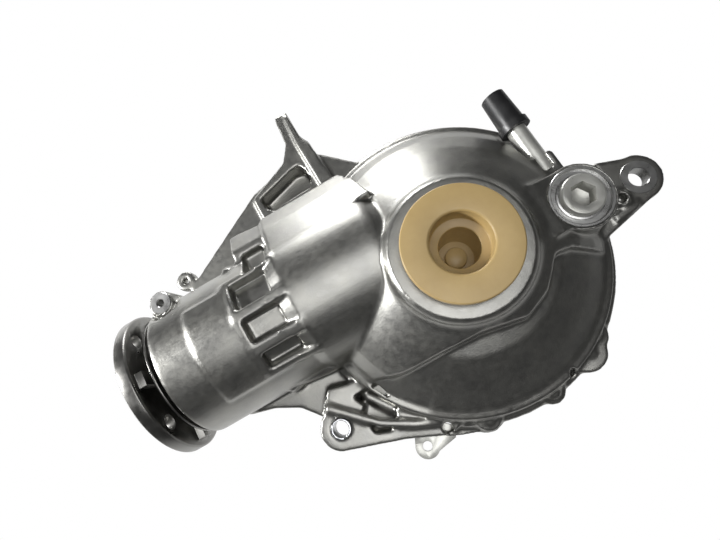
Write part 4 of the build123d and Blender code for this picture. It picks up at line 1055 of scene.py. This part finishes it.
@dataclass
class CoverBolts:
    """Flange bolts of the rear cover, set on their points by Geometry Nodes."""

    finishes: Finishes
    head_r: float = 6.2
    head: float = 8.0
    flange_r: float = 7.0
    flange: float = 1.5
    shank_r: float = 4.0
    thread: float = 14.0
    pitch: float = 1.25
    seed: int = 7

    def dress(self, frame: dict) -> None:
        """Build one bolt and repeat it at every place of the node.

        Args:
            frame: The loaded frame.
        """
        points, low, high = self.places(frame["nodes"]["cover_bolts"])
        bolt = Workshop.add(self.bolt(high - low), "bolt_pattern", self.finishes.zinc)
        mesh = bpy.data.meshes.new("bolt_places")
        mesh.from_pydata([(x, y, low) for x, y in points], [], [])
        piece = Workshop.add(mesh, "cover_bolts_set", self.finishes.zinc)
        tree = self.tree()
        repeat = piece.modifiers.new("repeat", "NODES")
        repeat.node_group = tree
        values = {
            "Bolt": bolt, "Seed": self.seed, "Turn": 2 * math.pi, "Finish": self.finishes.zinc,
        }
        for item in tree.interface.items_tree:
            if item.in_out == "INPUT" and item.name in values:
                repeat[item.identifier] = values[item.name]
        Workshop.bake(piece)
        bpy.data.objects.remove(bolt)
        Workshop.smooth_by_angle(piece.data, 30.0)
        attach(piece, "housing")
        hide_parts("cover_bolts")
        LOG.info("%s: %d bolts, %d faces", piece.name, len(points), len(piece.data.polygons))

    def places(self, node: bpy.types.Object) -> tuple[list[tuple[float, float]], float, float]:
        """Find the centre of every bolt of the node.

        Args:
            node: Object of the frame.

        Returns:
            The centres, and the lowest and highest height.
        """
        form = bmesh.new()
        form.from_mesh(Workshop.merged_copy(node))
        heights = [vert.co.z for vert in form.verts]
        left = set(form.verts)
        centres: list[tuple[float, float]] = []
        while left:
            stack = [left.pop()]
            found = []
            while stack:
                vert = stack.pop()
                found.append(vert.co.copy())
                for edge in vert.link_edges:
                    other = edge.other_vert(vert)
                    if other in left:
                        left.remove(other)
                        stack.append(other)
            xs = [co.x for co in found]
            ys = [co.y for co in found]
            centre = ((min(xs) + max(xs)) / 2, (min(ys) + max(ys)) / 2)
            if all(math.dist(centre, other) > 5 * MM for other in centres):
                centres.append(centre)
        form.free()
        return sorted(centres), min(heights), max(heights)

    def bolt(self, length: float) -> bpy.types.Mesh:
        """Build one bolt that stands on its head.

        Args:
            length: Overall length in metres.

        Returns:
            Head, flange and threaded shank as closed bodies.
        """
        form = bmesh.new()
        top = length / MM
        hexagon = [(self.head_r - 0.5, 0.0), (self.head_r, 0.5), (self.head_r, self.head - 1.0)]
        flange = [(self.head_r - 0.4, self.head - self.flange - 0.4),
                  (self.flange_r, self.head - self.flange + 0.5), (self.flange_r, self.head)]
        self.ring_body(form, 6, hexagon)
        self.ring_body(form, 36, flange)
        height = top - self.thread
        shank = [(self.shank_r, self.head - 1.0), (self.shank_r, height)]
        while height + self.pitch < top - 0.6:
            root = (self.shank_r - 0.55, height + self.pitch / 2)
            shank += [root, (self.shank_r, height + self.pitch)]
            height += self.pitch
        shank.append((self.shank_r - 0.8, top))
        self.ring_body(form, 24, shank)
        bmesh.ops.recalc_face_normals(form, faces=form.faces)
        mesh = bpy.data.meshes.new("bolt")
        form.to_mesh(mesh)
        form.free()
        return mesh

    @staticmethod
    def ring_body(form: bmesh.types.BMesh, sides: int,
                  profile: Sequence[tuple[float, float]]) -> None:
        """Add a closed body of stacked rings.

        Args:
            form: Mesh that receives it.
            sides: Points on each ring.
            profile: Radius and height of each ring in millimetres.
        """
        rings = [[form.verts.new((radius * MM * math.cos(2 * math.pi * i / sides),
                                  radius * MM * math.sin(2 * math.pi * i / sides), height * MM))
                  for i in range(sides)] for radius, height in profile]
        close_tube(form, rings)

    @staticmethod
    def tree() -> bpy.types.GeometryNodeTree:
        """Build the node group that repeats a bolt.

        Returns:
            The node group with its named inputs.
        """
        tree = bpy.data.node_groups.new("bolt set", "GeometryNodeTree")
        face = tree.interface
        face.new_socket("Places", in_out="INPUT", socket_type="NodeSocketGeometry")
        face.new_socket("Bolt", in_out="INPUT", socket_type="NodeSocketObject")
        face.new_socket("Seed", in_out="INPUT", socket_type="NodeSocketInt")
        face.new_socket("Turn", in_out="INPUT", socket_type="NodeSocketFloat")
        face.new_socket("Finish", in_out="INPUT", socket_type="NodeSocketMaterial")
        face.new_socket("Bolts", in_out="OUTPUT", socket_type="NodeSocketGeometry")
        given = tree.nodes.new("NodeGroupInput")
        result = tree.nodes.new("NodeGroupOutput")
        info = tree.nodes.new("GeometryNodeObjectInfo")
        chance = tree.nodes.new("FunctionNodeRandomValue")
        chance.data_type = "FLOAT"
        turn = tree.nodes.new("ShaderNodeCombineXYZ")
        place = tree.nodes.new("GeometryNodeInstanceOnPoints")
        real = tree.nodes.new("GeometryNodeRealizeInstances")
        paint = tree.nodes.new("GeometryNodeSetMaterial")
        number = [socket for socket in chance.inputs if socket.type == "VALUE"]
        value = [socket for socket in chance.outputs if socket.type == "VALUE"]
        tree.links.new(given.outputs["Bolt"], info.inputs["Object"])
        tree.links.new(given.outputs["Seed"], chance.inputs["Seed"])
        tree.links.new(given.outputs["Turn"], number[1])
        tree.links.new(value[0], turn.inputs["Z"])
        tree.links.new(given.outputs["Places"], place.inputs["Points"])
        tree.links.new(info.outputs["Geometry"], place.inputs["Instance"])
        tree.links.new(turn.outputs["Vector"], place.inputs["Rotation"])
        tree.links.new(place.outputs["Instances"], real.inputs["Geometry"])
        tree.links.new(real.outputs["Geometry"], paint.inputs["Geometry"])
        tree.links.new(given.outputs["Finish"], paint.inputs["Material"])
        tree.links.new(paint.outputs["Geometry"], result.inputs["Bolts"])
        return tree


@dataclass
class TransportPlug:
    """Ochre plug in the upper output, with its stepped recess."""

    finishes: Finishes
    profile: tuple[tuple[float, float], ...] = (
        (0.0, 103.0),
        (12.8, 103.0),
        (14.3, 104.5),
        (14.3, 131.5),
        (19.0, 132.5),
        (19.0, 138.8),
        (22.2, 140.5),
        (22.2, 147.5),
        (34.6, 147.5),
        (35.0, 147.7),
        (35.2, 148.1),
        (35.2, 152.1),
        (35.0, 152.6),
        (34.7, 152.9),
        (34.2, 153.0),
        (20.0, 153.0),
        (19.3, 152.85),
        (18.7, 152.5),
        (18.3, 152.0),
        (18.2, 151.4),
        (18.2, 139.5),
        (17.9, 139.1),
        (17.5, 139.0),
        (13.2, 139.0),
        (12.7, 138.8),
        (12.5, 138.3),
        (12.3, 107.4),
        (12.0, 107.0),
        (7.2, 107.0),
        (7.0, 107.3),
        (6.9, 111.6),
        (6.5, 112.0),
        (0.0, 112.0),
    )

    def dress(self) -> None:
        """Turn the plug and put it in place of its node."""
        turned = Lathe(self.profile).mesh()
        piece = Workshop.add(turned, "transport_plug_turned", self.finishes.ochre)
        Workshop.smooth_by_angle(piece.data, 50.0)
        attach(piece, "plug")
        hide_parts("transport_plug")
        LOG.info("%s: %d faces", piece.name, len(piece.data.polygons))


@dataclass
class Studio:
    """Floor, lamps and the photograph's camera."""

    camera_place: tuple[float, float, float] = (-0.0526, -0.0435, 0.399)
    right: tuple[float, float, float] = (0.8638, -0.4861, -0.1326)
    down: tuple[float, float, float] = (-0.5036, -0.8423, -0.1921)
    forward: tuple[float, float, float] = (-0.0183, 0.2327, -0.9724)
    focal_pixels: float = 445.0
    image_width: float = 720.0

    def build(self) -> None:
        """Add the floor, the lamps, the world and the camera."""
        self.floor()
        self.lamp("key", (-1.0, 0.35, 0.6), (0.0, 0.0, 0.08), 0.16, 16.0)
        self.lamp("low", (0.1, 1.1, 0.22), (0.0, 0.0, 0.1), 0.44, 7.0)
        self.lamp("top", (-0.05, -0.15, 1.3), (0.0, 0.0, 0.1), 0.8, 6.0)
        self.world()
        self.camera()
        bpy.context.scene.view_settings.view_transform = "Standard"

    def floor(self) -> None:
        """Lay a plain pale floor that stays white to the camera."""
        mesh = bpy.data.meshes.new("floor")
        size = 6.0
        corners = [(-size, -size, 0.0), (size, -size, 0.0), (size, size, 0.0), (-size, size, 0.0)]
        mesh.from_pydata(corners, [], [(0, 1, 2, 3)])
        graph = Graph("pale floor", (0.82, 0.82, 0.82))
        graph.shader.inputs["Roughness"].default_value = 0.8
        tree = graph.material.node_tree
        seen = tree.nodes.new("ShaderNodeLightPath")
        white = tree.nodes.new("ShaderNodeEmission")
        white.inputs["Color"].default_value = (1.0, 1.0, 1.0, 1.0)
        white.inputs["Strength"].default_value = 1.0
        mix = tree.nodes.new("ShaderNodeMixShader")
        output = next(node for node in tree.nodes if node.type == "OUTPUT_MATERIAL")
        tree.links.new(seen.outputs["Is Camera Ray"], mix.inputs["Fac"])
        tree.links.new(graph.shader.outputs["BSDF"], mix.inputs[1])
        tree.links.new(white.outputs["Emission"], mix.inputs[2])
        tree.links.new(mix.outputs["Shader"], output.inputs["Surface"])
        floor = Workshop.add(mesh, "floor", graph.material)

    def lamp(self, name: str, place: Sequence[float], target: Sequence[float], size: float,
             power: float) -> None:
        """Add a soft area lamp.

        Args:
            name: Name of the lamp.
            place: Where it stands, in metres.
            target: What it points at.
            size: Edge of the square.
            power: Power in watts.
        """
        data = bpy.data.lights.new(name, "AREA")
        data.size = size
        data.energy = power
        lamp = bpy.data.objects.new(name, data)
        lamp.location = place
        towards = Vector(target) - Vector(place)
        lamp.rotation_euler = towards.to_track_quat("-Z", "Y").to_euler()
        bpy.context.scene.collection.objects.link(lamp)

    def world(self) -> None:
        """Light the room evenly with a faint pale world."""
        world = bpy.data.worlds.new("room")
        bpy.context.scene.world = world
        world.use_nodes = True
        tree = world.node_tree
        background = tree.nodes["Background"]
        background.inputs["Color"].default_value = (0.9, 0.9, 0.9, 1.0)
        background.inputs["Strength"].default_value = 0.07

    def camera(self) -> None:
        """Set the camera where the photograph was taken from."""
        data = bpy.data.cameras.new("camera")
        data.sensor_width = 36.0
        data.lens = self.focal_pixels / self.image_width * data.sensor_width
        data.clip_start = 0.01
        camera = bpy.data.objects.new("camera", data)
        rows = (self.right, [-v for v in self.down], [-v for v in self.forward])
        columns = Matrix(rows).transposed()
        camera.matrix_world = Matrix.Translation(self.camera_place) @ columns.to_4x4()
        bpy.context.scene.collection.objects.link(camera)
        bpy.context.scene.camera = camera


def main() -> None:
    """Load the frame, dress it and light it."""
    logging.basicConfig(level=logging.INFO, format="%(name)s %(message)s")
    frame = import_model()
    finishes = Finishes()
    Carried(finishes).dress(frame)
    Castings(finishes).dress(frame)
    MachinedFaces(finishes).dress()
    CoverBolts(finishes).dress(frame)
    TransportPlug(finishes).dress()
    Studio().build()


if __name__ == "__main__":
    main()
